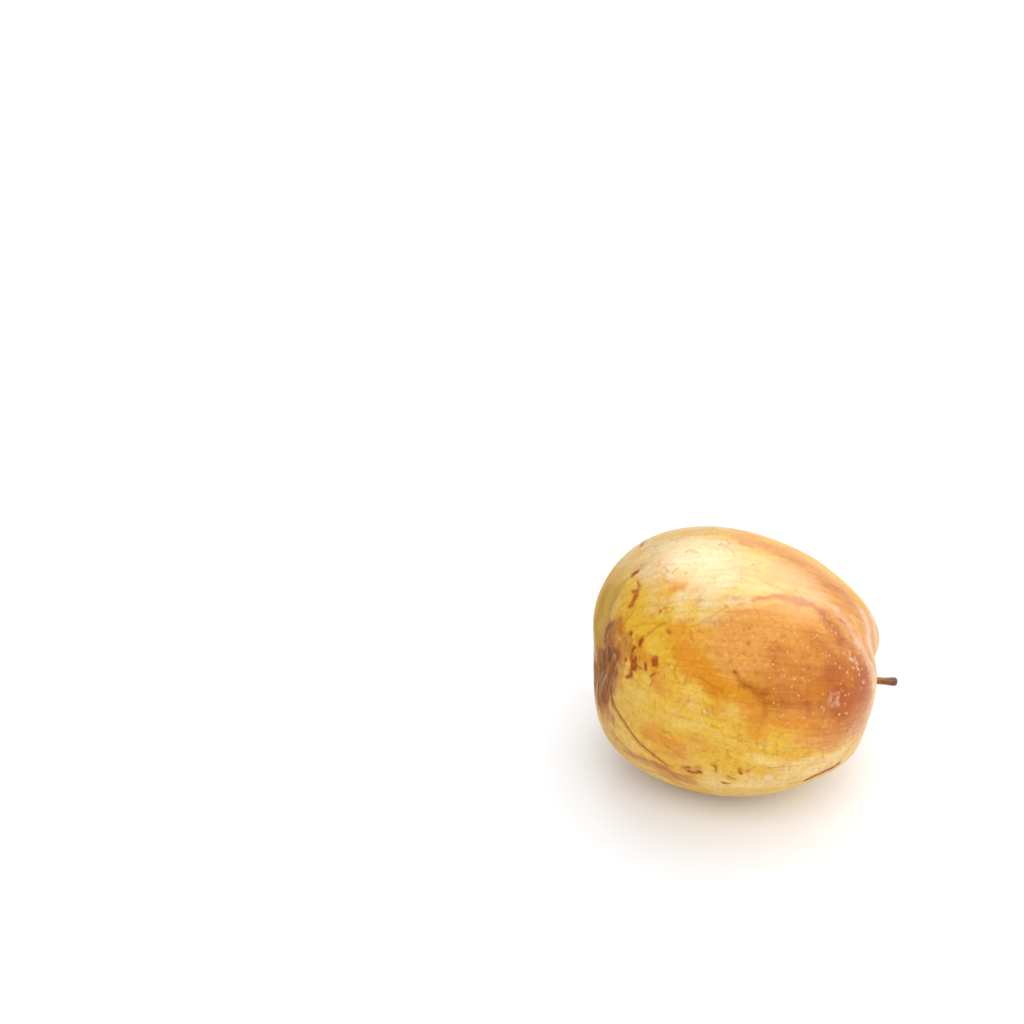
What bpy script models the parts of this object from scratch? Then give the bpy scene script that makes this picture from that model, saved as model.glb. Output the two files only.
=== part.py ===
"""Indian jujube: one ripe fruit and its dried stalk, lying on its side on a small flat spot.

Lengths are in metres, angles in degrees. +Z is up, +X runs toward the stalk end, and the
origin is on the flat spot. The fruit is one closed surface: each point of it stands at the
distance that skin_distance gives from one centre inside the fruit. A direction from that
centre is given by its azimuth, turned from +X toward +Y, and its elevation above level.
"""
import math

import bmesh
import bpy
from mathutils import Matrix, Vector

MM = 0.001

# The body before its lobes: a slightly squared ellipsoid about the fruit's centre
CENTRE = Vector((-0.4, -0.7, 19.7)) * MM
HALF_LENGTH = 24.8 * MM
HALF_WIDTH = 20.8 * MM
HALF_HEIGHT = 20.4 * MM
SQUARENESS = 2.4
LONG_AXIS_TURN = 20.5
LONG_AXIS_DIP = 7.0

# The two ends of the fruit: azimuth and elevation of the stalk pit and of the style dimple
STALK_END = (2.0, -9.0)
STYLE_END = (190.0, 12.0)

# Broad rises and hollows: azimuth, elevation, height, spread
SWELLINGS = (
    (157.0, 30.0, 0.8 * MM, 30.0),    # shoulder above the style end
    (180.0, 0.0, -2.0 * MM, 20.0),    # blunt style end
    (-93.0, -50.0, -0.4 * MM, 30.0),  # drawn in low at the front
    (-53.0, -45.0, -2.3 * MM, 30.0),  # drawn in below the stalk half
    (-22.0, -25.0, -3.1 * MM, 30.0),  # blunt underside of the stalk end
    (-32.0, -24.0, 1.6 * MM, 16.0),   # low corner of the near lobe
    (-14.0, 10.0, -0.8 * MM, 14.0),   # flat of the near lobe beside the stalk pit
    (17.0, 25.0, -1.9 * MM, 30.0),    # sloping top of the stalk half
    (62.0, 50.0, -0.3 * MM, 30.0),    # flatter back
)

# Pits at the two ends: azimuth and elevation, depth, spread
PITS = (
    (STALK_END, 3.4 * MM, 13.0),
    (STYLE_END, 0.7 * MM, 9.0),
)

# Furrows that start in a pit and fade out: start, end, depth at the start, spread
FURROWS = (
    (STALK_END, (330.0, 42.0), 1.1 * MM, 6.0),
    (STYLE_END, (185.0, 42.0), 1.0 * MM, 6.5),
    (STYLE_END, (176.0, -14.0), 0.9 * MM, 6.5),
)

# The surface is divided by rings around the line from end to end and by meridians along it
RINGS = 46
MERIDIANS = 60

# The stalk: distances along it from its buried foot, and its radius there
STALK_SECTIONS = (
    (0.0, 0.50 * MM),
    (0.3 * MM, 0.62 * MM),
    (2.4 * MM, 0.62 * MM),
    (4.6 * MM, 0.58 * MM),
    (6.6 * MM, 0.60 * MM),
    (7.7 * MM, 0.70 * MM),
    (8.3 * MM, 0.72 * MM),
    (8.6 * MM, 0.54 * MM),
)
STALK_SIDES = 14
STALK_BEND = 0.25 * MM

# The socket that holds the stalk's foot in the floor of the pit
SOCKET_DEPTH = 1.6 * MM
SOCKET_GAP = 0.3 * MM
SOCKET_SIDES = 14
SOCKET_REACH = 4.0 * MM


def direction(azimuth, elevation):
    """The unit vector at an azimuth and elevation in degrees."""
    turn = math.radians(azimuth)
    rise = math.radians(elevation)
    return Vector((math.cos(turn) * math.cos(rise), math.sin(turn) * math.cos(rise), math.sin(rise)))


def body_distance(way):
    """Distance from the centre to the squared ellipsoid along a unit vector."""
    turn = math.radians(LONG_AXIS_TURN)
    dip = math.radians(LONG_AXIS_DIP)
    long_axis = Vector((math.cos(turn) * math.cos(dip), -math.sin(turn) * math.cos(dip), -math.sin(dip)))
    side_axis = Vector((math.sin(turn), math.cos(turn), 0.0))
    top_axis = long_axis.cross(side_axis)
    total = (abs(way.dot(long_axis)) / HALF_LENGTH) ** SQUARENESS
    total += (abs(way.dot(side_axis)) / HALF_WIDTH) ** SQUARENESS
    total += (abs(way.dot(top_axis)) / HALF_HEIGHT) ** SQUARENESS
    return total ** (-1.0 / SQUARENESS)


def bell(angle, spread):
    """1 at angle 0, falling smoothly to nothing past about twice the spread."""
    return math.exp(-(angle / spread) ** 2)


def angle_to(way, other):
    """The angle in degrees between two unit vectors."""
    return math.degrees(math.acos(max(-1.0, min(1.0, way.dot(other)))))


def angle_to_line(way, start, end):
    """The angle from a unit vector to the line between two directions, and the share along it."""
    first = direction(*start)
    step = direction(*end) - first
    share = max(0.0, min(1.0, (way - first).dot(step) / step.length_squared))
    return angle_to(way, (first + share * step).normalized()), share


def skin_distance(way):
    """Distance from the fruit's centre to its skin along a unit vector."""
    distance = body_distance(way)
    for azimuth, elevation, height, spread in SWELLINGS:
        distance += height * bell(angle_to(way, direction(azimuth, elevation)), spread)
    for end, depth, spread in PITS:
        distance -= depth * bell(angle_to(way, direction(*end)), spread)
    for start, end, depth, spread in FURROWS:
        angle, share = angle_to_line(way, start, end)
        distance -= depth * (1.0 - share ** 2) * bell(angle, spread)
    return distance


def plain_material(name, colour, roughness):
    """A plain surface of one colour, given as linear red, green and blue."""
    material = bpy.data.materials.new(name)
    material.use_nodes = True
    shader = material.node_tree.nodes["Principled BSDF"]
    shader.inputs["Base Color"].default_value = (*colour, 1.0)
    shader.inputs["Roughness"].default_value = roughness
    shader.inputs["Metallic"].default_value = 0.0
    return material


def skin_material():
    """Waxy yellow skin with a soft shine."""
    return plain_material("jujube_skin", (0.68, 0.36, 0.06), 0.35)


def stalk_material():
    """Dry brown stalk."""
    return plain_material("dry_stalk", (0.20, 0.10, 0.05), 0.75)


def add_object(name, bm, material=None):
    """Puts a finished bmesh into the scene as a named object, with its material if it has one."""
    bmesh.ops.recalc_face_normals(bm, faces=bm.faces)
    mesh = bpy.data.meshes.new(name)
    bm.to_mesh(mesh)
    bm.free()
    if material:
        mesh.materials.append(material)
    item = bpy.data.objects.new(name, mesh)
    bpy.context.scene.collection.objects.link(item)
    return item


def stalk_frame():
    """A frame at the foot of the stalk, its Z axis out of the fruit along the stalk."""
    way = direction(*STALK_END)
    pit_floor = CENTRE + way * skin_distance(way)
    foot = pit_floor - way * (SOCKET_DEPTH - SOCKET_GAP)
    turn = Vector((0.0, 0.0, 1.0)).rotation_difference(way)
    return Matrix.Translation(foot) @ turn.to_matrix().to_4x4()


def cut_flat_spot(bm):
    """Cuts the fruit off level at the height of the floor and closes it with one flat face."""
    everything = bm.verts[:] + bm.edges[:] + bm.faces[:]
    bmesh.ops.bisect_plane(bm, geom=everything, dist=0.02 * MM, plane_co=(0.0, 0.0, 0.0),
                           plane_no=(0.0, 0.0, 1.0), clear_inner=True)
    rim = [edge for edge in bm.edges if edge.is_boundary]
    bmesh.ops.edgeloop_fill(bm, edges=rim)
    for edge in rim:
        edge.smooth = False


def socket_cutter():
    """A plain round rod, wider than the stalk by the gap, that cuts the socket in the pit's floor."""
    widest = max(radius for distance, radius in STALK_SECTIONS if distance < SOCKET_DEPTH)
    radius = (widest + SOCKET_GAP) / math.cos(math.pi / SOCKET_SIDES)
    length = SOCKET_REACH + SOCKET_GAP
    bm = bmesh.new()
    middle = Matrix.Translation((0.0, 0.0, length / 2.0 - SOCKET_GAP))
    bmesh.ops.create_cone(bm, cap_ends=True, segments=SOCKET_SIDES, radius1=radius, radius2=radius,
                          depth=length, matrix=stalk_frame() @ middle)
    cutter = add_object("socket_cutter", bm)
    cutter.hide_render = True
    cutter.display_type = "WIRE"
    return cutter


def cut_socket(fruit):
    """Takes the socket out of the fruit and leaves no cutter behind."""
    cutter = socket_cutter()
    cut = fruit.modifiers.new("stalk_socket", "BOOLEAN")
    cut.operation = "DIFFERENCE"
    cut.solver = "EXACT"
    cut.object = cutter
    bpy.context.view_layer.update()
    evaluated = fruit.evaluated_get(bpy.context.evaluated_depsgraph_get())
    mesh = bpy.data.meshes.new_from_object(evaluated)
    fruit.modifiers.clear()
    fruit.data = mesh
    mesh.name = fruit.name
    bpy.data.objects.remove(cutter)


def make_fruit():
    """The whole fruit in one closed surface, smooth but for its flat spot."""
    bm = bmesh.new()
    poles = Vector((0.0, 0.0, 1.0)).rotation_difference(direction(*STALK_END))
    bmesh.ops.create_uvsphere(bm, u_segments=MERIDIANS, v_segments=RINGS, radius=1.0,
                              matrix=poles.to_matrix().to_4x4())
    for vert in bm.verts:
        way = vert.co.normalized()
        vert.co = CENTRE + way * skin_distance(way)
    cut_flat_spot(bm)
    fruit = add_object("fruit", bm, skin_material())
    cut_socket(fruit)
    for face in fruit.data.polygons:
        face.use_smooth = len(face.vertices) <= 4
    return fruit


def make_stalk():
    """A thin dry stalk, slightly bent, with a swollen end where it left the twig."""
    bm = bmesh.new()
    length = STALK_SECTIONS[-1][0]
    upright = stalk_frame()
    loops = []
    for index, (distance, radius) in enumerate(STALK_SECTIONS):
        ends = index in (0, len(STALK_SECTIONS) - 1)
        bend = STALK_BEND * (distance / length) ** 2
        place = Matrix.Translation((0.0, 0.0, distance))
        circle = bmesh.ops.create_circle(bm, cap_ends=ends, segments=STALK_SIDES, radius=radius, matrix=place)
        rim = circle["verts"]
        bmesh.ops.translate(bm, verts=rim, vec=(-bend, 0.0, 0.0))
        loops.append([edge for edge in bm.edges if edge.verts[0] in rim and edge.verts[1] in rim])
    for near, far in zip(loops, loops[1:]):
        bmesh.ops.bridge_loops(bm, edges=near + far)
    bmesh.ops.transform(bm, matrix=upright, verts=bm.verts)
    stalk = add_object("stalk", bm, stalk_material())
    for face in stalk.data.polygons:
        face.use_smooth = len(face.vertices) <= 4
    return stalk


def main():
    """Empties the scene and builds both pieces."""
    for item in list(bpy.data.objects):
        bpy.data.objects.remove(item)
    make_fruit()
    make_stalk()


main()
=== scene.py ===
"""Looks of an Indian jujube: its marked skin, pale lenticels and dry stalk, on a white stage.

Lengths are in metres and angles in degrees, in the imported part's own frame: +Z up, +X toward
the stalk end. The skin follows the same rule as the solid and adds the relief that only shows
close up. A place on the skin is either a direction from the fruit's centre (azimuth turned
from +X toward +Y, elevation above level) or a pixel of the photograph, whose ray is followed
to the skin. Marks are painted as attributes of the skin's mesh, and their edges torn by noise.
"""

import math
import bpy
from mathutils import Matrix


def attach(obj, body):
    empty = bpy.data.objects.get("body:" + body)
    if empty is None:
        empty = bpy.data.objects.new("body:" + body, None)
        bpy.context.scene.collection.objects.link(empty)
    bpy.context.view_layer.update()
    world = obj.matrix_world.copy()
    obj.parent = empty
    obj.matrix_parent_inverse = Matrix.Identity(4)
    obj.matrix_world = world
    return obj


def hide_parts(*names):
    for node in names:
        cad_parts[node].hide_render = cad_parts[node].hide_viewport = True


bl_info = {
    "name": "Indian Jujube",
    "version": (1, 0, 0),
    "blender": (4, 5, 0),
    "location": "3D View > Sidebar > Jujube",
    "description": "Dresses the packed jujube in its skin, lenticels and stalk, and sets the stage",
    "category": "Object",
}

import bmesh
import bpy
import numpy as np
from mathutils import Matrix, Vector, noise

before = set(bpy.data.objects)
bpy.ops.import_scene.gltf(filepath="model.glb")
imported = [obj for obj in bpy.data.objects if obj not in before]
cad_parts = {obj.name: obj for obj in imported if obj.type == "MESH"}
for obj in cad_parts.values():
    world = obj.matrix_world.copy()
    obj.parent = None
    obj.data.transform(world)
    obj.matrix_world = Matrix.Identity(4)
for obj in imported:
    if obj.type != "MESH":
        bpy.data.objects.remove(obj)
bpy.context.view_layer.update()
MM = 0.001

# The fruit's shape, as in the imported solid
CENTRE = np.array((-0.4, -0.7, 19.7)) * MM
HALF_SIZES = np.array((24.8, 20.8, 20.4)) * MM
SQUARENESS = 2.4
LONG_AXIS_TURN = 20.5
LONG_AXIS_DIP = 7.0
STALK_END = (2.0, -9.0)
STYLE_END = (190.0, 12.0)
SWELLINGS = (
    (157.0, 30.0, 0.8 * MM, 30.0),    # shoulder above the style end
    (180.0, 0.0, -2.0 * MM, 20.0),    # blunt style end
    (-93.0, -50.0, -0.4 * MM, 30.0),  # drawn in low at the front
    (-53.0, -45.0, -2.3 * MM, 30.0),  # drawn in below the stalk half
    (-22.0, -25.0, -3.1 * MM, 30.0),  # blunt underside of the stalk end
    (-32.0, -24.0, 1.6 * MM, 16.0),   # low corner of the near lobe
    (-14.0, 10.0, -0.8 * MM, 14.0),   # flat of the near lobe beside the stalk pit
    (17.0, 25.0, -1.9 * MM, 30.0),    # sloping top of the stalk half
    (62.0, 50.0, -0.3 * MM, 30.0),    # flatter back
)
PITS = (
    (STALK_END, 3.4 * MM, 13.0),
    (STYLE_END, 0.7 * MM, 9.0),
)
FURROWS = (
    (STALK_END, (330.0, 42.0), 1.1 * MM, 6.0),
    (STYLE_END, (185.0, 42.0), 1.0 * MM, 6.5),
    (STYLE_END, (176.0, -14.0), 0.9 * MM, 6.5),
)

# The stalk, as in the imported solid: distances along it from its foot, and its radius there
STALK_SECTIONS = (
    (0.0, 0.50 * MM),
    (0.3 * MM, 0.62 * MM),
    (2.4 * MM, 0.62 * MM),
    (4.6 * MM, 0.58 * MM),
    (6.6 * MM, 0.60 * MM),
    (7.7 * MM, 0.70 * MM),
    (8.3 * MM, 0.72 * MM),
    (8.6 * MM, 0.54 * MM),
)
STALK_BURIED = 1.3 * MM
STALK_BEND = 0.25 * MM

# What the solid stalk leaves out: a collar where it leaves the fruit, shrunken ridges that are
# deeper by a share of themselves at the tip, and a hollow tip, dark from a share of the length on
STALK_RINGS = 96
STALK_SIDES = 40
COLLAR_HEIGHT = 0.35 * MM
COLLAR_SPREAD = 0.5 * MM
RIDGES_AROUND = 2.2
RIDGE_LENGTH = 3.0 * MM
TIP_LENGTH = 0.9 * MM
TIP_RIDGES = 0.6
TIP_HOLLOW = 0.12 * MM
TIP_DARK_FROM = 0.86

# How steeply the bark looks down where its olive underside is full, and how strong that olive is
UNDERSIDE_SLOPE = 0.8
UNDERSIDE_STRENGTH = 0.8

# The photograph's camera: where it stands, and what one pixel measures at the fruit
PICTURE_SIZE = 1024
PIXEL = 0.1611 * MM
CAMERA_DISTANCE = 550.0 * MM
CAMERA_RISE = 35.0
FRUIT_IN_PICTURE = (738.8, 666.5)
SENSOR = 36.0
CAMERA_CLIP = (0.01, 20.0)

# A pixel's ray is followed past the fruit's centre in short steps, over these millimetres
RAY_REACH = (-27.0, 12.0)
RAY_STEPS = 650

# The stage: half the floor's side, and how far the light panels stand from the fruit. A panel has
# an azimuth and elevation seen from the fruit, and a half width and half height in degrees. The
# panel that only adds gloss stands a little further off, because two in one place hide each other.
FLOOR_HALF = 3.0
FLOOR_SQUARES = 8
PANEL_DISTANCE = 1.2
GLOSS_STEP_BACK = 1.02
BACK_PANEL = (78.0, 45.0, 27.0, 21.0)
STRIP_PANEL = (100.0, 75.0, 12.0, 3.0)
TOP_PANEL = (90.0, 84.0, 26.0, 20.0)
SIDE_PANEL = (10.0, 26.0, 34.0, 20.0)
FILL_PANEL = (-95.0, 45.0, 38.0, 28.0)

# Where the room is brightest, and between which cosines to that side it turns from dim to bright
BRIGHT_SIDE = (50.0, 30.0)
ROOM_RISE = (-0.7, 0.8)

# Skin mesh: cuts along each edge of the cube that it starts from, and how far it crowds toward
# the side with the most marks
SKIN_CUTS = 124
CROWDING = 0.28
CROWDED_SIDE = (235.0, 25.0)

# How far noise moves what is painted, and the size of that noise
MARK_SHAKE = (0.30 * MM, 0.9 * MM)
EDGE_SHAKE = (0.50 * MM, 2.0 * MM)
CLOUD_SHAKE = (1.2 * MM, 3.0 * MM)
SHAKE_SHIFTS = (2.0, 17.0, 31.0)
NEARLY_ZERO = 1e-6

# Broad colours: pixels that a patch passes through, its radius in millimetres, and its strength
BLUSH = (
    (((738, 644), (760, 640), (800, 650)), 4.0, 1.0),
    (((758, 613), (772, 611), (800, 614), (822, 626)), 2.4, 0.9),
    (((708, 629), (735, 624)), 1.8, 0.45),
    (((728, 616), (750, 611)), 1.3, 0.40),
    (((735, 655), (775, 672), (800, 690)), 3.8, 0.9),
    (((815, 640), (845, 665), (862, 690)), 4.6, 1.0),
    (((824, 618), (842, 640), (858, 664)), 2.0, 1.0),
    (((834, 608), (850, 622), (862, 645), (868, 660)), 2.8, 1.0),
    (((820, 700), (850, 712)), 4.2, 1.0),
    (((795, 712), (830, 724), (860, 730)), 2.6, 0.9),
    (((868, 700), (872, 725)), 2.6, 0.6),
    (((798, 740), (832, 746)), 1.7, 0.8),
)
BLUSH_EDGE = ((672, 640), (690, 627), (702, 621), (717, 613), (727, 606), (753, 599), (767, 597),
              (793, 598), (813, 602), (832, 606), (848, 612), (857, 625), (863, 643), (870, 660),
              (876, 674))

# Where the blush ends at that edge and the blush above it starts, in millimetres from the edge
BLUSH_ENDS = (-0.35, 0.25)
TOP_BLUSH_STARTS = (-0.3, 0.6)
DEEP_BLUSH = (
    (((824, 616), (834, 630), (846, 645), (858, 662)), 1.3, 0.45),
    (((838, 616), (852, 634), (864, 654)), 1.2, 0.35),
    (((862, 668), (868, 690)), 1.6, 0.5),
    (((815, 640), (835, 655)), 2.8, 0.50),
    (((780, 660), (815, 680)), 3.4, 0.45),
    (((832, 672), (860, 680)), 3.0, 0.75),
    (((845, 695), (862, 698)), 3.2, 0.90),
    (((840, 720), (862, 724)), 2.6, 0.50),
    (((770, 692), (800, 702), (835, 708)), 3.0, 0.55),
    (((765, 701), (790, 705), (806, 707)), 1.0, 0.30),
    (((738, 678), (747, 686), (762, 692)), 1.0, 0.65),
    (((755, 694), (763, 702), (765, 716)), 1.0, 0.35),
    (((816, 733), (840, 736)), 1.4, 0.35),
    (((818, 578), (840, 594), (860, 616)), 2.2, 0.40),
    (((770, 549), (800, 564)), 1.4, 0.35),
    (((788, 582), (824, 592)), 1.6, 0.32),
)
EDGE_LINE = (
    (((727, 597), (745, 598)), 0.40, 0.5),
    (((753, 599), (767, 597), (783, 597)), 0.52, 0.85),
    (((783, 597), (797, 600), (812, 605), (823, 613)), 0.85, 0.9),
    (((823, 613), (832, 625), (842, 638)), 1.1, 0.6),
)
TOP_BLUSH = (
    (((745, 538), (780, 550), (815, 573)), 2.6, 1.0),
    (((785, 570), (825, 590), (845, 604)), 2.4, 1.0),
    (((738, 566), (775, 580), (800, 590)), 2.8, 0.50),
    (((815, 573), (845, 592), (862, 615)), 2.6, 1.0),
    (((862, 615), (872, 640), (876, 662)), 3.0, 1.0),
    (((836, 606), (852, 622), (864, 645)), 3.6, 1.0),
    (((822, 602), (838, 610)), 1.6, 0.8),
)
# Olive patches. The first, on the far lobe beyond the style end's rim, is greener skin and painted
# shade where that lobe faces away from the light; the last makes the bottom edge darker
OLIVE_AND_SHADE = (
    (((606, 590), (600, 610), (597, 640)), 1.8, 1.0),
    (((622, 570), (612, 590)), 1.6, 0.45),
    (((618, 695), (640, 712), (655, 722)), 2.4, 0.50),
    (((622, 682), (616, 712)), 1.8, 0.50),
    (((676, 786), (735, 796), (772, 796)), 1.2, 0.45),
)
AMBER = (
    (((676, 587), (680, 586)), 0.95, 0.95),
    (((657, 597), (672, 593)), 0.7, 0.5),
    (((650, 628), (664, 622)), 1.0, 0.35),
    (((677, 632), (686, 642), (690, 655)), 2.0, 0.8),
    (((684, 655), (700, 672), (720, 690)), 2.4, 0.95),
    (((700, 636), (712, 650)), 1.2, 0.45),
    (((722, 690), (740, 688)), 1.6, 0.85),
    (((745, 700), (758, 716), (754, 734)), 1.8, 0.9),
    (((735, 722), (720, 716)), 1.0, 0.6),
    (((767, 712), (790, 722), (815, 728)), 2.0, 0.8),
    (((655, 735), (668, 742), (682, 750)), 2.3, 0.80),
    (((690, 738), (705, 745)), 1.4, 0.55),
    (((662, 768), (692, 777)), 1.3, 0.70),
    (((786, 752), (805, 755)), 1.0, 0.6),
    (((728, 778), (732, 772)), 0.7, 0.6),
    (((830, 745), (842, 742)), 1.0, 0.4),
    (((718, 752), (735, 757)), 0.9, 0.45),
    (((640, 650), (658, 670), (662, 690)), 1.7, 0.75),
    (((655, 752), (672, 757)), 1.1, 0.60),
    (((700, 545), (712, 540)), 0.8, 0.3),
)
# Cream: paler skin, and painted highlight over the top where the gloss of the panel behind falls
CREAM_AND_HIGHLIGHT = (
    (((660, 558), (695, 560), (722, 566)), 3.8, 0.95),
    (((655, 548), (690, 540), (722, 545)), 2.2, 0.80),
    (((696, 580), (725, 581)), 2.0, 0.8),
    (((735, 585), (780, 590)), 1.4, 0.4),
    (((800, 596), (820, 603)), 0.8, 0.7),
    (((704, 604), (722, 602), (748, 602)), 1.2, 0.9),
    (((648, 572), (655, 605)), 1.6, 0.45),
    (((652, 566), (668, 576)), 2.0, 0.90),
    (((688, 594), (712, 588)), 1.6, 0.85),
    (((708, 621), (734, 617)), 1.4, 0.70),
)
# Pale patches: paler skin, and painted light. Those low at the front stand partly for light thrown up
# from the white floor, those at the top left and beside the cream partly for painted highlight
PALE_AND_LIT = (
    (((715, 781), (760, 784), (800, 776)), 2.1, 0.75),
    (((815, 768), (842, 752)), 2.2, 0.8),
    (((785, 768), (812, 762)), 2.0, 0.8),
    (((636, 568), (655, 548), (672, 541)), 2.2, 0.8),
    (((760, 760), (780, 765)), 1.6, 0.6),
    (((745, 745), (770, 742)), 1.0, 0.35),
    (((690, 722), (705, 730)), 1.6, 0.35),
    (((636, 745), (618, 730)), 1.2, 0.3),
    (((660, 640), (672, 652)), 0.8, 0.3),
    (((668, 598), (684, 602), (680, 618)), 1.2, 0.6),
    (((684, 596), (706, 598)), 1.6, 0.85),
)

# Whitish bloom on the wax, and painted highlight: along the lit crest beside the stalk and on the far
# lobe, on the lit ring of the dent, and on single spots, some of them painted glints
BLOOM_AND_HIGHLIGHTS = (
    (((812, 597), (824, 601), (836, 609)), 0.8, 0.35),
    (((836, 610), (848, 626), (858, 643)), 1.0, 0.50),
    (((858, 643), (867, 660), (874, 684)), 1.2, 0.60),
    (((862, 612), (868, 630), (872, 652)), 1.3, 0.70),
    (((872, 618), (876, 634), (877, 652)), 1.5, 0.90),
    (((851, 659), (855, 659), (857, 663)), 0.34, 1.0),
    (((857, 668), (859, 669)), 0.30, 1.0),
    (((863, 682), (864, 683)), 0.26, 0.9),
    (((838, 693), (832, 693), (828, 699), (832, 706)), 0.55, 0.40),
    (((837, 699), (838, 705)), 0.50, 0.60),
    (((769, 777), (770, 778)), 0.70, 1.0),
    (((705, 711), (706, 712)), 0.25, 0.9),
    (((822, 706), (823, 707)), 0.28, 0.6),
    (((853, 726), (854, 726)), 0.28, 0.6),
)

# Dark red-brown marks: radius in millimetres, and the pixels that each one passes through
DARK_MARKS = (
    (0.40, ((633, 575), (636, 573))),
    (0.22, ((636, 573), (639, 570))),
    (0.16, ((638, 581), (639, 587))),
    (0.30, ((633, 592), (637, 591))),
    (0.24, ((637, 592), (635, 599), (633, 603))),
    (0.26, ((633, 604), (630, 607))),
    (0.34, ((630, 634), (631, 635))),
    (0.30, ((642, 640), (640, 646))),
    (0.34, ((634, 648), (632, 652))),
    (0.36, ((631, 656), (633, 663), (631, 670))),
    (0.28, ((635, 657), (636, 664), (634, 670))),
    (0.34, ((631, 675), (627, 677))),
    (0.20, ((636, 665), (640, 668))),
    (0.14, ((626, 659), (625, 661))),
    (0.46, ((655, 659), (655, 664))),
    (0.26, ((646, 664), (646, 669))),
    (0.18, ((651, 676), (655, 673))),
    (0.16, ((669, 631), (669, 632))),
    (0.12, ((661, 612), (660, 612))),
    (0.20, ((748, 642), (747, 643))),
    (0.26, ((735, 671), (736, 672))),
    (0.22, ((744, 685), (751, 687))),
    (0.36, ((688, 771), (694, 773), (700, 772))),
    (0.18, ((684, 767), (690, 768))),
    (0.22, ((715, 766), (716, 771))),
    (0.24, ((740, 768), (741, 774))),
    (0.12, ((746, 772), (752, 770))),
    (0.24, ((722, 782), (727, 783))),
    (0.24, ((649, 537), (645, 541), (641, 546))),
    (0.50, ((806, 780), (815, 776), (825, 771), (832, 768), (838, 764))),
    (0.16, ((773, 664), (773, 665))),
    (0.32, ((842, 620), (845, 623))),
    (0.20, ((856, 662), (857, 664))),
    (0.16, ((851, 663), (852, 665))),
    (0.16, ((860, 669), (860, 670))),
)

# Faint orange-brown scratches and rings
FAINT_MARKS = (
    (0.20, ((640, 639), (650, 633), (655, 629))),
    (0.20, ((653, 631), (660, 625), (665, 623))),
    (0.16, ((622, 628), (628, 618), (633, 612))),
    (0.16, ((616, 626), (622, 616))),
    (0.20, ((664, 567), (668, 572))),
    (0.20, ((673, 573), (678, 568))),
    (0.16, ((668, 565), (674, 564))),
    (0.24, ((685, 552), (690, 550), (697, 552))),
    (0.16, ((722, 540), (727, 539), (729, 543), (725, 547), (721, 544))),
    (0.22, ((729, 548), (735, 556))),
    (0.40, ((741, 543), (752, 547))),
    (0.16, ((741, 571), (742, 579))),
    (0.24, ((752, 566), (762, 563))),
    (0.16, ((770, 572), (778, 578))),
    (0.14, ((765, 583), (780, 588))),
    (0.24, ((726, 606), (727, 607))),
    (0.10, ((725, 607), (716, 614), (702, 622), (690, 627))),
    (0.44, ((637, 593), (635, 599), (633, 604))),
    (0.22, ((663, 731), (668, 732), (672, 736))),
    (0.18, ((664, 742), (668, 747))),
    (0.20, ((676, 752), (680, 757))),
    (0.18, ((727, 751), (730, 758))),
    (0.16, ((712, 765), (719, 760))),
    (0.24, ((728, 776), (734, 779))),
    (0.14, ((702, 715), (702, 710), (706, 708), (709, 711))),
    (0.18, ((768, 768), (785, 766))),
    (0.18, ((826, 766), (831, 763))),
    (0.16, ((820, 615), (824, 622), (828, 630))),
    (0.20, ((690, 632), (694, 641))),
    (0.16, ((676, 666), (674, 674), (677, 678))),
    (0.18, ((712, 726), (718, 728))),
    (0.24, ((736, 673), (740, 680))),
    (0.18, ((650, 655), (652, 660))),
    (0.20, ((653, 680), (650, 686))),
    (0.14, ((762, 700), (766, 712), (762, 722), (757, 732))),
    (0.18, ((772, 660), (775, 671))),
    (0.30, ((700, 678), (712, 686), (722, 690))),
    (0.24, ((704, 690), (716, 694))),
)

# The style end's rim, whose far side is olive, the greener skin there and painted shade where that lobe
# faces away from the light: how far that reaches, where it sets in beyond the rim, where it thins
# before the rim, its strength beyond and how much it thins. High up and toward the back nothing of the
# scar passes the rim. All places are in millimetres from the rim, but the last two are along Y and
# above the floor
RIM_LINE = ((617, 600), (610, 621), (605, 637), (600, 648), (595, 656), (591, 668))
RIM_REACH = 3.4
OLIVE_SHADE_BEYOND_RIM = (-0.2, 0.5)
OLIVE_BEFORE_RIM = (-0.2, 0.4)
OLIVE_SHADE_MOST = 0.95
OLIVE_THINNED = 0.7
CLEAR_BEYOND_RIM = (0.0, 0.9)
CLEAR_FROM = (-6.5 * MM, -4.5 * MM)
CLEAR_ABOVE = (23.0 * MM, 25.0 * MM)

# The style end's wrinkled patch, its dark grooves and grey corky ridges, and the russet round it
SCAR = (
    (((609, 628), (606, 642)), 1.5, 0.95),
    (((609, 662), (609, 677), (607, 692)), 1.4, 0.9),
    (((608, 650), (606, 662)), 2.3, 1.0),
    (((603, 662), (600, 680)), 2.5, 1.0),
    (((600, 680), (598, 700)), 2.4, 0.8),
    (((606, 686), (604, 700)), 1.8, 0.7),
    (((596, 668), (595, 688)), 2.4, 0.8),
    (((614, 652), (615, 664), (611, 676)), 1.0, 0.8),
)
GROOVE_LINES = (
    (0.40, ((609, 626), (606, 640))),
    (0.75, ((609, 649), (609, 657))),
    (0.42, ((601, 662), (598, 680), (598, 688))),
    (0.30, ((606, 664), (603, 682), (603, 700))),
    (0.24, ((611, 664), (609, 676), (607, 688))),
    (0.22, ((618, 652), (619, 662), (616, 672))),
)
CORK_LINES = (
    (0.17, ((602, 660), (603, 652), (605, 647), (609, 645), (612, 647), (615, 655), (616, 668))),
    (0.12, ((616, 668), (612, 678), (610, 690), (611, 702))),
    (0.13, ((602, 690), (603, 676), (605, 662))),
    (0.11, ((606, 690), (608, 674))),
    (0.12, ((607, 640), (610, 630))),
)
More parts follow.
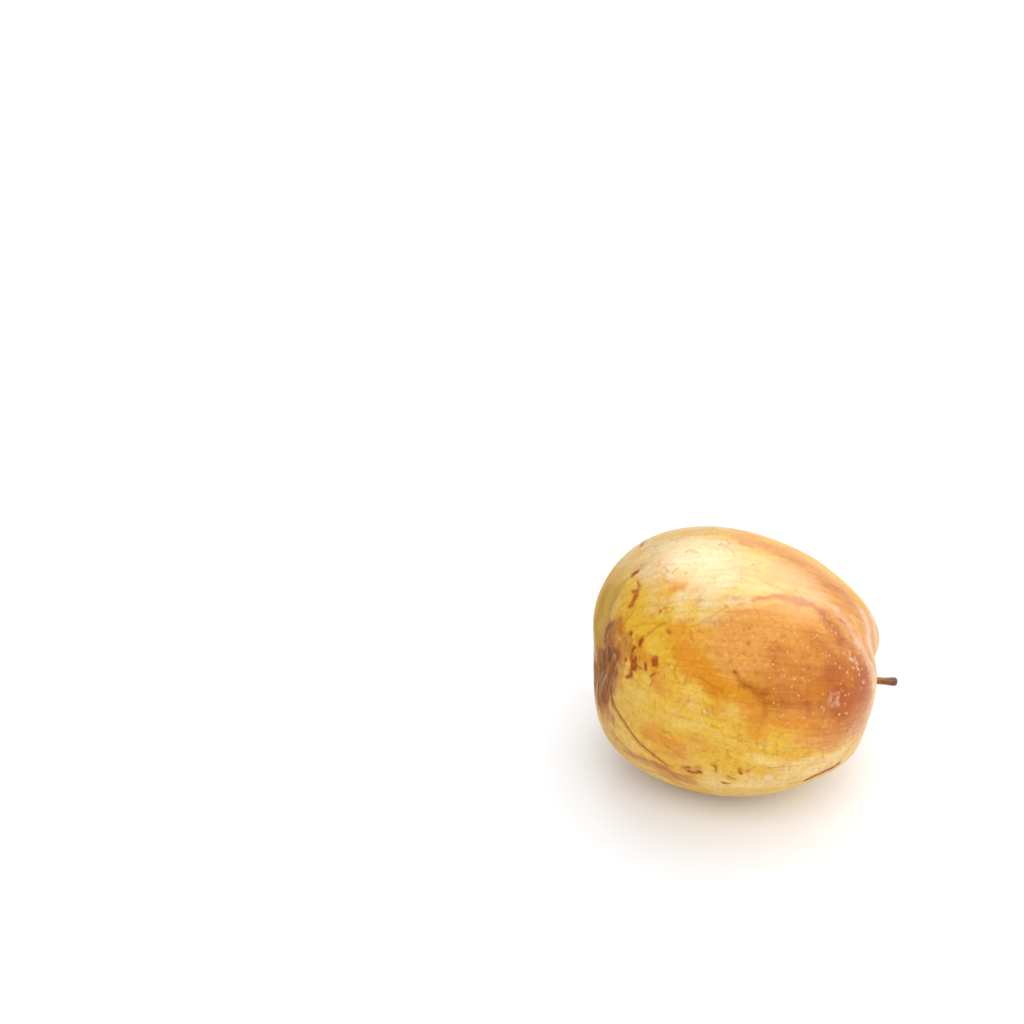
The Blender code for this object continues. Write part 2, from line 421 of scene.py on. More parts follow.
HALO = (
    (((614, 624), (613, 642)), 1.4, 0.85),
    (((619, 622), (624, 634), (627, 650)), 1.3, 0.75),
    (((617, 648), (622, 664)), 1.2, 0.9),
    (((617, 675), (613, 692)), 1.1, 0.8),
    (((605, 690), (607, 712)), 2.0, 0.8),
    (((604, 583), (600, 600)), 0.7, 0.6),
    (((595, 606), (593, 636)), 0.6, 0.6),
    (((634, 640), (637, 655)), 0.9, 0.40),
    (((612, 716), (618, 728)), 1.0, 0.4),
)

# The long crease that runs down from the scar: its half width and how far from it still counts, in
# millimetres, and how soon its ends set in. Then the folds beside it under the style half
CREASE = ((614, 670), (611, 684), (611, 697), (614, 707), (619, 715), (625, 724), (631, 733),
          (640, 744), (650, 752), (657, 758), (667, 765), (680, 769))
CREASE_HALF_WIDTH = 0.13
CREASE_REACH = 8.0
CREASE_FADE = 3.0 * MM
FOLD_LINES = (
    (0.22, ((598, 712), (605, 730), (615, 744))),
    (0.20, ((606, 716), (614, 734), (626, 748), (638, 758))),
    (0.26, ((624, 750), (640, 758), (655, 763), (668, 768))),
    (0.24, ((640, 766), (655, 772), (668, 778), (682, 784))),
    (0.30, ((652, 760), (663, 768), (676, 776), (688, 782))),
    (0.22, ((657, 766), (672, 773), (690, 779))),
    (0.20, ((668, 771), (684, 776), (696, 777))),
    (0.16, ((618, 738), (630, 752))),
    (0.14, ((613, 700), (618, 712), (626, 722))),
)
FOLDS = (
    (((602, 715), (612, 735), (625, 750)), 1.4, 0.6),
    (((632, 755), (650, 764), (665, 770)), 1.3, 1.0),
    (((665, 774), (690, 781)), 1.3, 1.0),
    (((682, 768), (700, 768)), 0.7, 0.7),
)

# Russet that follows the lines from end to end, with whitish streaks of bloom and painted highlight
# beside it
RUSSET = (
    (((742, 543), (785, 558), (820, 580)), 2.4, 0.60),
    (((820, 580), (850, 606), (866, 634)), 2.6, 0.75),
    (((866, 634), (873, 655)), 1.8, 1.0),
)

# Skin whose wax has worn dull
DULL = (
    (((606, 580), (598, 610), (596, 640)), 3.2, 1.0),
    (((760, 536), (820, 560), (860, 600), (877, 645)), 3.0, 0.9),
    (((609, 630), (606, 660), (601, 705)), 2.6, 0.95),
    (((610, 740), (650, 775), (700, 792)), 2.0, 0.5),
)

# Dents: pixel, radius and depth in millimetres
DENTS = (
    ((836, 702), 1.1, 0.16),
    ((831, 692), 0.6, 0.08),
    ((843, 621), 1.0, 0.20),
    ((854, 662), 0.5, 0.12),
    ((858, 668), 0.4, 0.12),
    ((706, 712), 0.4, 0.08),
    ((655, 662), 0.4, 0.08),
    ((634, 596), 0.6, 0.06),
)

# Fine relief. The waves and dimples: height, and the size of their lumps. The step along the style
# end's rim: height, sharpness, reach, and the heights above the floor between which it sets in
WAVES = (0.09 * MM, 7.0 * MM)
DIMPLES = (0.02 * MM, 2.4 * MM)
RIM_STEP = (0.12 * MM, 1.2, 2.6)
RIM_STEP_HEIGHTS = (12.0 * MM, 20.0 * MM)

# Bands beside the far lobe's edge and along the crease: height, place and width in millimetres. The
# lobe's set in between two places along X
LOBE_FROM = (14.0 * MM, 17.0 * MM)
LOBE_BANDS = (
    (-0.16 * MM, 0.15, 0.7),
    (0.12 * MM, -0.9, 0.9),
)
CREASE_BANDS = (
    (-0.15 * MM, 0.0, 0.20),
    (0.07 * MM, -0.55, 0.4),
)

# Lines cut in or raised: the field, height, and where in the field the wall starts and ends
LINE_RELIEF = (
    ("fold_lines", -0.07 * MM, -0.25, 0.20),
    ("groove", -0.08 * MM, -0.4, 0.4),
    ("cork", 0.09 * MM, -0.4, 0.15),
    ("dark", -0.04 * MM, -0.2, 0.25),
)

# Pleats: height, width, stretch along the fruit. Wrinkles: height, size, squash, shift of the noise
PLEATS = (0.06 * MM, 0.8, 2.0)
SCAR_WRINKLES = (0.06 * MM, 0.9 * MM, (1.0, 1.0, 0.22), 4.0)
SCAR_SUNK = 0.14 * MM

# Marks of the hidden side, drawn at random with the same make-up: how many, the cosine to the
# camera's direction below which a place is hidden, how far a stroke turns from that place as a
# share of the distance to the fruit's centre, and its radius in millimetres
HIDDEN_SEED = 11
HIDDEN_MARKS = 44
MARKS_HIDDEN_BELOW = -0.12
MARK_REACH = 0.07
MARK_RADII = (0.08, 0.28)

# Patches of the hidden side: the same, then the shares of its strength that a patch may have, and
# for each colour the least and the largest radius in millimetres and that strength
HIDDEN_PATCHES = 26
PATCHES_HIDDEN_BELOW = -0.1
PATCH_REACH = 0.08
PATCH_STRENGTHS = (0.3, 1.0)
HIDDEN_DEEP = (2.0, 4.0, 0.6)
HIDDEN_OLIVE = (3.0, 6.0, 0.5)
HIDDEN_AMBER = (1.0, 3.0, 0.9)
HIDDEN_PALE = (1.5, 3.5, 0.5)
HIDDEN_RUSSET = (2.0, 5.0, 0.7)

# The stalk's pit: the radius in millimetres and the strength of its olive, and the radius and half
# width in millimetres of a dark ring round the foot of the stalk
PIT_OLIVE = (3.2, 0.8)
FOOT_RING = (1.15, 0.30)

# How deep inside a line, and how far outside it, still counts, in millimetres
LINE_CLIP = (-0.6, 0.6)

# Torn edges: the level of the field at the edge, how soft the edge is, how far noise moves it, and
# the size of that noise in millimetres
TORN_EDGES = {
    "pale_and_lit": (0.45, 0.35, 0.16, 2.2),
    "cream_and_highlight": (0.45, 0.60, 0.10, 1.6),
    "blush": (0.71, 0.40, 0.07, 2.2),
    "top_blush": (0.68, 0.50, 0.10, 2.0),
    "amber": (0.77, 0.50, 0.16, 1.2),
    "deep": (0.77, 0.48, 0.10, 1.6),
    "edge_line": (0.80, 0.56, 0.14, 0.9),
    "halo": (0.98, 0.50, 0.12, 0.9),
    "fold_lines": (-0.04, 0.24, 0.12, 0.6),
    "folds": (0.5, 0.45, 0.2, 1.2),
    "crease": (0.0, 0.10, 0.05, 0.7),
    "beside_crease": (-0.30, 0.34, 0.14, 0.8),
    "faint": (-0.02, 0.20, 0.10, 0.5),
    "dark": (0.03, 0.18, 0.17, 0.6),
    "round_dark": (-0.15, 0.32, 0.14, 0.9),
    "heart": (0.40, 0.10, 0.06, 0.5),
    "scar": (1.02, 0.34, 0.10, 0.8),
    "groove": (0.04, 0.44, 0.12, 0.6),
    "cork": (-0.04, 0.18, 0.08, 0.5),
    "bloom_and_highlight": (0.50, 0.45, 0.16, 0.6),
    "tip": (0.0, 0.10, 0.05, 0.6),
}
GRIT_GAIN = 5.0

# How far streaks move a torn edge: those of the broad colours, the line above the blush, the halo
# and the scar
WISP_PULL = 0.5
STREAK_PULL = 0.9
HALO_PULL = 1.0
SCAR_PULL = 1.2

# Gloss: how far mottling moves the clean skin's roughness, and how rough worn skin is
ROUGHNESS_RANGE = 0.06
WORN_ROUGHNESS = 0.75

# Attributes of the skin's mesh that its material reads, and the colours that it lays on
PAINTED = ("blush", "top_blush", "deep", "edge_line", "olive_and_shade", "amber", "pale_and_lit", "cream_and_highlight", "bloom_and_highlight",
           "dull", "dark", "faint", "cork", "scar", "groove", "halo", "russet", "folds",
           "fold_lines", "crease", "crease_fade")
SKIN_COLOURS = ("yellow", "pale_and_lit", "cream_and_highlight", "olive_and_shade", "amber", "blush", "deep_blush", "russet", "mark",
                "rust", "bloom_and_highlight", "scar", "heart", "groove", "cork")

# Lenticels: the most to a square metre, and the share of them by how strong the blush is
LENTICELS_PER_AREA = 110000.0
BLUSH_LEVELS = (0.2, 0.8)
LENTICEL_SHARES = (0.22, 1.0)

# Their sizes beside the common one, the seed of those sizes, and how tall a dome is for its radius
LENTICEL_SIZES = (0.4, 1.1)
LENTICEL_SIZE_SEED = 3
DOME_HEIGHT = 0.17


def linear(code):
    """A colour in linear light from an sRGB hex code."""
    channels = [int(code[start:start + 2], 16) / 255.0 for start in (1, 3, 5)]
    return tuple(c / 12.92 if c <= 0.04045 else ((c + 0.055) / 1.055) ** 2.4 for c in channels)


def colour_property(name, code, description):
    """A colour a user can change, given first as an sRGB hex code."""
    return bpy.props.FloatVectorProperty(name=name, description=description, subtype="COLOR", size=3,
                                         min=0.0, max=1.0, default=linear(code))


def radiance_property(name, value, description):
    """How bright a light is, which a user can change."""
    return bpy.props.FloatProperty(name=name, description=description, default=value, min=0.0, max=50.0)


class JujubeSkinSettings(bpy.types.PropertyGroup):
    """Colours and relief of the skin."""
    yellow: colour_property("Yellow", "#DDB127", "Ripe yellow of the shaded side")
    # Pale yellow is also painted light: bounce from the floor low at the front, and highlight at the
    # top
    pale_and_lit: colour_property("Pale yellow", "#E8C878", "Palest skin, low at the front")
    # Cream is also painted highlight over the top of the fruit
    cream_and_highlight: colour_property("Cream", "#DCC592", "Waxy cream on top")
    # Olive is also painted shade on the far lobe beyond the style end's rim
    olive_and_shade: colour_property("Olive", "#A98413", "Greener skin round the style end")
    amber: colour_property("Amber", "#D5830B", "Ripest patches")
    blush: colour_property("Blush", "#DA9644", "Sun side")
    deep_blush: colour_property("Deep blush", "#9F4106", "Heart of the blush")
    russet: colour_property("Russet", "#A9570F", "Thin streaks of russet")
    mark: colour_property("Mark", "#923403", "Healed spots and scratches")
    rust: colour_property("Rust", "#BA700C", "Faint scratches, and smudges round marks")
    # Bloom is also painted highlight: the lit crest, the far lobe, the dent's ring and glints
    bloom_and_highlight: colour_property("Bloom", "#E4C6B4", "Whitish bloom on the wax")
    scar: colour_property("Scar", "#7A3610", "Wrinkled patch at the style end")
    heart: colour_property("Heart", "#C8682C", "Pinkish heart of a large mark")
    groove: colour_property("Groove", "#331309", "Dark grooves of the scar")
    cork: colour_property("Cork", "#B69C84", "Dry ridges in the scar")
    relief: bpy.props.FloatProperty(name="Relief", description="Strength of dents, wrinkles and folds",
                                    subtype="FACTOR", default=1.0, min=0.0, max=2.0)
    roughness: bpy.props.FloatProperty(name="Roughness", description="Roughness of the clean waxy skin",
                                       subtype="FACTOR", default=0.3, min=0.0, max=1.0)


class JujubeLenticelSettings(bpy.types.PropertyGroup):
    """Size, spacing and colour of the lenticels."""
    radius: bpy.props.FloatProperty(name="Radius", description="Radius of a common lenticel",
                                    unit="LENGTH", default=0.24 * MM, min=0.05 * MM, max=1.0 * MM)
    spacing: bpy.props.FloatProperty(name="Spacing", description="Least distance between two lenticels",
                                     unit="LENGTH", default=1.1 * MM, min=0.3 * MM, max=5.0 * MM)
    seed: bpy.props.IntProperty(name="Seed", description="Which scatter of lenticels", default=8, min=0)
    colour: colour_property("Lenticel", "#DC9650", "Pale cork of a lenticel")
    speck: colour_property("Speck", "#DFA050", "Darker grains in that cork")


class JujubeStalkSettings(bpy.types.PropertyGroup):
    """Colours and relief of the stalk."""
    bark: colour_property("Bark", "#96623A", "Dry bark")
    tip: colour_property("Tip", "#724A38", "Dark end where the stalk broke off")
    under: colour_property("Underside", "#A88A45", "Olive underside")
    ridges: bpy.props.FloatProperty(name="Ridges", description="Depth of the shrunken ridges",
                                    unit="LENGTH", default=0.06 * MM, min=0.0, max=0.2 * MM)


class JujubeStageSettings(bpy.types.PropertyGroup):
    """Floor and light."""
    floor: colour_property("Floor", "#F6FAFF", "Plain white floor")
    shade: colour_property("Floor shade", "#F3F7FC", "Faint clouds on the floor")
    room_front: radiance_property("Room in front", 0.2, "Radiance of the room in front")
    room_back: radiance_property("Room behind", 0.72, "Radiance of the room behind")
    back_light: radiance_property("Back light", 0.7, "Radiance of the panel behind")
    gloss_light: radiance_property("Gloss light", 6.0, "Radiance that it adds only as gloss")
    strip_light: radiance_property("Strip light", 3.2, "Radiance of the narrow strip")
    top_light: radiance_property("Top light", 0.35, "Radiance of the panel overhead")
    side_light: radiance_property("Side light", 1.1, "Radiance of the panel at the right")
    fill_light: radiance_property("Fill light", 1.7, "Radiance of the fill in front")


def heading(azimuth, elevation):
    """The unit vector at an azimuth and elevation in degrees."""
    turn = math.radians(azimuth)
    rise = math.radians(elevation)
    return np.array((math.cos(turn) * math.cos(rise), math.sin(turn) * math.cos(rise), math.sin(rise)))


def lengths(vectors):
    """The length of each row vector, kept as a column."""
    return np.linalg.norm(vectors, axis=-1, keepdims=True)


def angles_to(ways, way):
    """The angle in degrees from each unit vector to one unit vector, or to its own one of several."""
    return np.degrees(np.arccos(np.clip((ways * way).sum(axis=-1), -1.0, 1.0)))


def bell(distance, spread):
    """1 at distance 0, falling smoothly to nothing past about twice the spread."""
    return np.exp(-(distance / spread) ** 2)


def ramp(values, low, high):
    """0 below low and 1 above high, with a smooth rise between them."""
    share = np.clip((values - low) / (high - low), 0.0, 1.0)
    return share * share * (3.0 - 2.0 * share)


def body_axes():
    """The long, side and top axes of the body."""
    long_axis = heading(-LONG_AXIS_TURN, -LONG_AXIS_DIP)
    side_axis = heading(90.0 - LONG_AXIS_TURN, 0.0)
    return np.array((long_axis, side_axis, np.cross(long_axis, side_axis)))


def from_segment(points, start, end):
    """How far along a segment each point's nearest place is, as a share, and the vector from there."""
    step = end - start
    share = np.clip(((points - start) @ step) / (step @ step), 0.0, 1.0)
    return share, points - start - share[..., None] * step


def skin_distance(ways):
    """Distance from the fruit's centre to its skin along each unit vector, as in the solid."""
    shares = np.abs(ways @ body_axes().T) / HALF_SIZES
    distance = (shares ** SQUARENESS).sum(axis=-1) ** (-1.0 / SQUARENESS)
    for azimuth, elevation, height, spread in SWELLINGS:
        distance = distance + height * bell(angles_to(ways, heading(azimuth, elevation)), spread)
    for end, depth, spread in PITS:
        distance = distance - depth * bell(angles_to(ways, heading(*end)), spread)
    for start, end, depth, spread in FURROWS:
        share, offset = from_segment(ways, heading(*start), heading(*end))
        near = ways - offset
        angle = angles_to(ways, near / lengths(near))
        distance = distance - depth * (1.0 - share ** 2) * bell(angle, spread)
    return distance


def skin_points(ways):
    """The skin point along each unit vector."""
    return CENTRE + ways * skin_distance(ways)[..., None]


def camera_axes():
    """The camera's backward, right and up directions."""
    back = heading(-90.0, CAMERA_RISE)
    right = np.array((1.0, 0.0, 0.0))
    return back, right, np.cross(back, right)


def camera_eye():
    """Where the camera stands, so that the fruit's centre falls on its own pixel."""
    back, right, up = camera_axes()
    across = (FRUIT_IN_PICTURE[0] - PICTURE_SIZE / 2) * PIXEL
    down = (FRUIT_IN_PICTURE[1] - PICTURE_SIZE / 2) * PIXEL
    return CENTRE - across * right + down * up + CAMERA_DISTANCE * back


def seen(pixels):
    """The skin point that the camera sees at each pixel, or the nearest one on the fruit's edge."""
    back, right, up = camera_axes()
    offset = (np.array(pixels, float) - PICTURE_SIZE / 2) * PIXEL
    rays = offset[:, :1] * right - offset[:, 1:] * up - CAMERA_DISTANCE * back
    rays = rays / lengths(rays)
    reach = CAMERA_DISTANCE + np.linspace(*RAY_REACH, RAY_STEPS) * MM
    points = camera_eye() + rays[:, None, :] * reach[None, :, None] - CENTRE
    depth = lengths(points)
    gap = depth[..., 0] - skin_distance(points / depth)
    met = gap <= 0.0
    index = np.where(met.any(axis=1), met.argmax(axis=1), gap.argmin(axis=1))
    found = points[np.arange(len(points)), index]
    return skin_points(found / lengths(found))


def distance_to_line(points, stops):
    """The distance from each point to a line through several stops, or to a single stop."""
    nearest = lengths(points - stops[0])[:, 0]
    for start, end in zip(stops, stops[1:]):
        nearest = np.minimum(nearest, lengths(from_segment(points, start, end)[1])[:, 0])
    return nearest


def signed_distance(points, stops):
    """The distance in millimetres to a line of stops, positive on the upper side of the line."""
    nearest = np.full(len(points), np.inf)
    signed = np.zeros(len(points))
    for start, end in zip(stops, stops[1:]):
        offset = from_segment(points, start, end)[1]
        distance = lengths(offset)[:, 0]
        side = np.cross(start - CENTRE, end - start)
        closer = distance < nearest
        nearest = np.where(closer, distance, nearest)
        signed = np.where(closer, np.where(offset @ side >= 0.0, distance, -distance), signed)
    return signed / MM


def inside_lines(points, lines):
    """How far inside the nearest line's own radius each point is, in millimetres."""
    low, high = LINE_CLIP
    depth = np.full(len(points), low)
    for radius, stops in lines:
        depth = np.maximum(depth, radius - distance_to_line(points, stops) / MM)
    return np.minimum(depth, high)


def seen_lines(lines):
    """Lines given by pixels, as lines of skin points."""
    return [(radius, seen(pixels)) for radius, pixels in lines]


def glow(points, patches):
    """Soft overlapping patches: 1 at the heart of a strong one."""
    rest = np.ones(len(points))
    for stops, radius, strength in patches:
        rest = rest * (1.0 - strength * bell(distance_to_line(points, stops), radius * MM))
    return 1.0 - rest


def seen_patches(patches):
    """Patches given by pixels, as patches along skin points."""
    return [(seen(pixels), radius, strength) for pixels, radius, strength in patches]


def lumps(points, size, squash=(1.0, 1.0, 1.0), shift=0.0):
    """Smooth noise from -1 to 1 with lumps of one size, drawn out where squash is under 1."""
    scaled = (points / size) * np.array(squash) + shift
    return np.array([noise.noise(Vector(place)) for place in scaled])


def shaken(points, shake):
    """Points moved about by smooth noise, so that nothing painted from them has a ruled edge."""
    reach, size = shake
    moves = [lumps(points, size, shift=shift) for shift in SHAKE_SHIFTS]
    return points + reach * np.column_stack(moves)


def hidden_way(chance, limit):
    """A random direction toward the side that the camera doesn't see."""
    while True:
        way = chance.normal(size=3)
        way = way / np.linalg.norm(way)
        if way @ camera_axes()[0] <= limit:
            return way


def skin_line(way, turned):
    """Two skin points, along a unit vector and along a vector of any length."""
    return skin_points(np.array((way, turned / np.linalg.norm(turned))))


def hidden_marks(chance):
    """Short dark strokes at random over the hidden side."""
    marks = []
    for _ in range(HIDDEN_MARKS):
        way = hidden_way(chance, MARKS_HIDDEN_BELOW)
        turned = way + chance.normal(size=3) * chance.uniform(0.0, MARK_REACH)
        marks.append((chance.uniform(*MARK_RADII), skin_line(way, turned)))
    return marks


def hidden_patches(chance, smallest, largest, strength):
    """Soft patches at random over the hidden side."""
    patches = []
    for _ in range(HIDDEN_PATCHES):
        way = hidden_way(chance, PATCHES_HIDDEN_BELOW)
        stops = skin_line(way, way + chance.normal(size=3) * PATCH_REACH)
        radius = chance.uniform(smallest, largest)
        patches.append((stops, radius, chance.uniform(*PATCH_STRENGTHS) * strength))
    return patches


def grain_coordinates(ways):
    """Coordinates that run along the lines from end to end: round the fruit in x and y, along in z."""
    axis = heading(*STALK_END)
    level = np.cross((0.0, 0.0, 1.0), axis)
    level = level / np.linalg.norm(level)
    across = np.stack((ways @ level, ways @ np.cross(axis, level)), axis=-1)
    across = across / np.maximum(lengths(across), NEARLY_ZERO)
    return np.column_stack((across, angles_to(ways, -axis) / 180.0))


def skin_fields(points, ways):
    """Everything painted on the skin, by attribute name, and its two guiding lines, edge and rim."""
    chance = np.random.default_rng(HIDDEN_SEED)
    marked = shaken(points, MARK_SHAKE)
    edged = shaken(points, EDGE_SHAKE)
    clouded = shaken(points, CLOUD_SHAKE)
    edge = signed_distance(edged, seen(BLUSH_EDGE))
    rim = signed_distance(edged, seen(RIM_LINE))
    fields = {"edge": edge, "rim": rim, "grain": grain_coordinates(ways)}

    # Patches, those of the hidden side with them. The order of the random draws is fixed
    fields["blush"] = glow(clouded, seen_patches(BLUSH)) * (1.0 - ramp(edge, *BLUSH_ENDS))
    fields["top_blush"] = glow(clouded, seen_patches(TOP_BLUSH)) * ramp(edge, *TOP_BLUSH_STARTS)
    fields["deep"] = glow(clouded, seen_patches(DEEP_BLUSH) + hidden_patches(chance, *HIDDEN_DEEP))
    pit = skin_points(heading(*STALK_END)[None, :])
    olive_and_shade_patches = seen_patches(OLIVE_AND_SHADE) + hidden_patches(chance, *HIDDEN_OLIVE)
    olive_and_shade = glow(clouded, olive_and_shade_patches + [(pit, *PIT_OLIVE)])
    # Beyond the rim the olive is painted shade as well, on the far lobe that faces away from the light
    beyond = ramp(-rim, *OLIVE_SHADE_BEYOND_RIM) * bell(rim, RIM_REACH)
    before = ramp(rim, *OLIVE_BEFORE_RIM)
    fields["olive_and_shade"] = np.maximum(olive_and_shade * (1.0 - OLIVE_THINNED * before), OLIVE_SHADE_MOST * beyond)
    fields["amber"] = glow(clouded, seen_patches(AMBER) + hidden_patches(chance, *HIDDEN_AMBER))
    # Pale, partly painted bounce light low at the front and painted highlight at the top
    fields["pale_and_lit"] = glow(clouded, seen_patches(PALE_AND_LIT) + hidden_patches(chance, *HIDDEN_PALE))
    # Cream: paler skin with painted highlight over the top
    fields["cream_and_highlight"] = glow(clouded, seen_patches(CREAM_AND_HIGHLIGHT))
    fields["edge_line"] = glow(edged, seen_patches(EDGE_LINE))
    # Bloom, with painted highlights and glints
    fields["bloom_and_highlight"] = glow(marked, seen_patches(BLOOM_AND_HIGHLIGHTS))
    fields["dull"] = glow(points, seen_patches(DULL))

    # Marks, and the ring round the foot of the stalk
    dark = inside_lines(marked, seen_lines(DARK_MARKS) + hidden_marks(chance))
    ring_radius, ring_width = FOOT_RING
    from_ring = np.abs(lengths(marked - pit)[:, 0] / MM - ring_radius)
    fields["dark"] = np.maximum(dark, ring_width - from_ring)
    fields["faint"] = inside_lines(marked, seen_lines(FAINT_MARKS) + hidden_marks(chance))
    fields["russet"] = glow(clouded, seen_patches(RUSSET) + hidden_patches(chance, *HIDDEN_RUSSET))

    # The style end. Its scar and halo stop at the rim, high up and toward the back
    clear = ramp(-rim, *CLEAR_BEYOND_RIM)
    clear = clear * ramp(points[:, 1], *CLEAR_FROM) * ramp(points[:, 2], *CLEAR_ABOVE)
    fields["scar"] = glow(edged, seen_patches(SCAR)) * (1.0 - clear)
    fields["halo"] = glow(edged, seen_patches(HALO)) * (1.0 - clear)
    fields["groove"] = inside_lines(edged, seen_lines(GROOVE_LINES))
    fields["cork"] = inside_lines(edged, seen_lines(CORK_LINES))

    # The crease and the folds beside it
    crease = seen(CREASE)
    fields["crease"] = np.clip(signed_distance(points, crease), -CREASE_REACH, CREASE_REACH)
    ends = np.minimum(lengths(points - crease[0]), lengths(points - crease[-1]))[:, 0]
    fields["crease_fade"] = ramp(ends, 0.0, CREASE_FADE)
    fields["folds"] = glow(points, seen_patches(FOLDS))
    fields["fold_lines"] = inside_lines(edged, seen_lines(FOLD_LINES))
    return fields


def relief(points, fields):
    """Height of the fine relief at each skin point."""
    height = np.zeros(len(points))
    for tall, size in (WAVES, DIMPLES):
        height += tall * lumps(points, size)
    tall, sharpness, reach = RIM_STEP
    step = tall * np.tanh(fields["rim"] / sharpness) * bell(fields["rim"], reach)
    height += step * ramp(points[:, 2], *RIM_STEP_HEIGHTS)
    lobe = ramp(points[:, 0], *LOBE_FROM)
    for tall, middle, width in LOBE_BANDS:
        height += lobe * tall * bell(fields["edge"] - middle, width)
    for tall, middle, width in CREASE_BANDS:
        height += tall * bell(fields["crease"] - middle, width) * fields["crease_fade"]
    tall, width, stretch = PLEATS
    across = np.column_stack((fields["crease"], fields["grain"][:, 2] * stretch, np.zeros(len(points))))
    height += tall * lumps(across, width) * fields["folds"]
    tall, size, squash, shift = SCAR_WRINKLES
    wrinkles = 1.0 - 2.0 * np.abs(lumps(points, size, squash=squash, shift=shift))
    height += fields["scar"] * (tall * wrinkles - SCAR_SUNK)
    for name, tall, low, high in LINE_RELIEF:
        height += tall * ramp(fields[name], low, high)
    for pixel, radius, depth in DENTS:
        height -= depth * MM * bell(lengths(points - seen((pixel,))[0])[:, 0], radius * MM)
    return height


def cube_directions():
    """A cube's surface cut into a fine grid, as a bmesh and the unit vector of each vertex."""
    bm = bmesh.new()
    bmesh.ops.create_cube(bm, size=2.0)
    bmesh.ops.subdivide_edges(bm, edges=bm.edges[:], cuts=SKIN_CUTS, use_grid_fill=True)
    places = np.array([vert.co[:] for vert in bm.verts])
    spread = np.tan(places * math.pi / 4.0)
    ways = spread / lengths(spread)
    crowded = ways + CROWDING * heading(*CROWDED_SIDE)
    return bm, crowded / lengths(crowded)


def store(mesh, name, values):
    """Keeps one number or vector for each vertex of a mesh."""
    kind, key = ("FLOAT_VECTOR", "vector") if values.ndim == 2 else ("FLOAT", "value")
    attribute = mesh.attributes.new(name, kind, "POINT")
    attribute.data.foreach_set(key, values.astype(np.float32).ravel())


def add_node(tree, kind, sockets=None, **settings):
    """Adds a node with its settings, and links or sets its sockets."""
    node = tree.nodes.new(kind)
    for name, value in settings.items():
        setattr(node, name, value)
    for key, value in (sockets or {}).items():
        if isinstance(value, bpy.types.NodeSocket):
            tree.links.new(value, node.inputs[key])
        else:
            node.inputs[key].default_value = value
    return node


def new_material(name):
    """An empty material with a node tree, its shader and its output joined."""
    material = bpy.data.materials.new(name)
    material.use_nodes = True
    tree = material.node_tree
    tree.nodes.clear()
    shader = add_node(tree, "ShaderNodeBsdfPrincipled")
    add_node(tree, "ShaderNodeOutputMaterial", {"Surface": shader.outputs["BSDF"]})
    return material, tree, shader


def per(size):
    """The scale of a pattern whose features measure size millimetres."""
    return 1.0 / (size * MM)


def solid(colour):
    """A colour as four numbers."""
    return (*colour, 1.0)


def torn_mask(tree, where, name, field):
    """1 where a field passes the level of a torn edge and 0 where it doesn't; noise tears the edge."""
    level, softness, wobble, size = TORN_EDGES[name]
    grit = add_node(tree, "ShaderNodeTexNoise", {
        "Vector": where, "Scale": per(size), "Detail": 5.0, "Roughness": 0.6})
    moved = add_node(tree, "ShaderNodeMath", {
        0: grit.outputs["Fac"], 1: GRIT_GAIN * wobble, 2: field}, operation="MULTIPLY_ADD")
    middle = level + GRIT_GAIN / 2.0 * wobble
    edge = add_node(tree, "ShaderNodeMapRange", {
        "Value": moved.outputs[0], "From Min": middle - softness, "From Max": middle + softness},
        interpolation_type="SMOOTHSTEP")
    return edge.outputs["Result"]


def cloudy(tree, where, size, levels, result=(0.0, 1.0), rise="SMOOTHSTEP", **noise_settings):
    """A cloudy mask with lumps of one size: noise, spread between two of its levels."""
    clouds = add_node(tree, "ShaderNodeTexNoise", {
        "Vector": where, "Scale": per(size), **noise_settings})
    spread = add_node(tree, "ShaderNodeMapRange", {
        "Value": clouds.outputs["Fac"], "From Min": levels[0], "From Max": levels[1],
        "To Min": result[0], "To Max": result[1]}, interpolation_type=rise)
    return spread.outputs["Result"]


def drawn_out(tree, vector, scale, **noise_settings):
    """Noise drawn out into streaks along the axis whose scale is lowest."""
    stretched = add_node(tree, "ShaderNodeMapping", {"Vector": vector, "Scale": scale})
    streaks = add_node(tree, "ShaderNodeTexNoise", {
        "Vector": stretched.outputs["Vector"], "Scale": 1.0, **noise_settings})
    return streaks.outputs["Fac"]


def paint(tree, below, layers):
    """Lays colours over a surface one after another, each as strong as its mask times its factors."""
    for colour, mask, *factors in layers:
        for factor in factors:
            product = add_node(tree, "ShaderNodeMath", {0: mask, 1: factor}, operation="MULTIPLY")
            mask = product.outputs[0]
        mix = add_node(tree, "ShaderNodeMix", {0: mask, 6: below, 7: colour}, data_type="RGBA")
        below = mix.outputs[2]
    return below


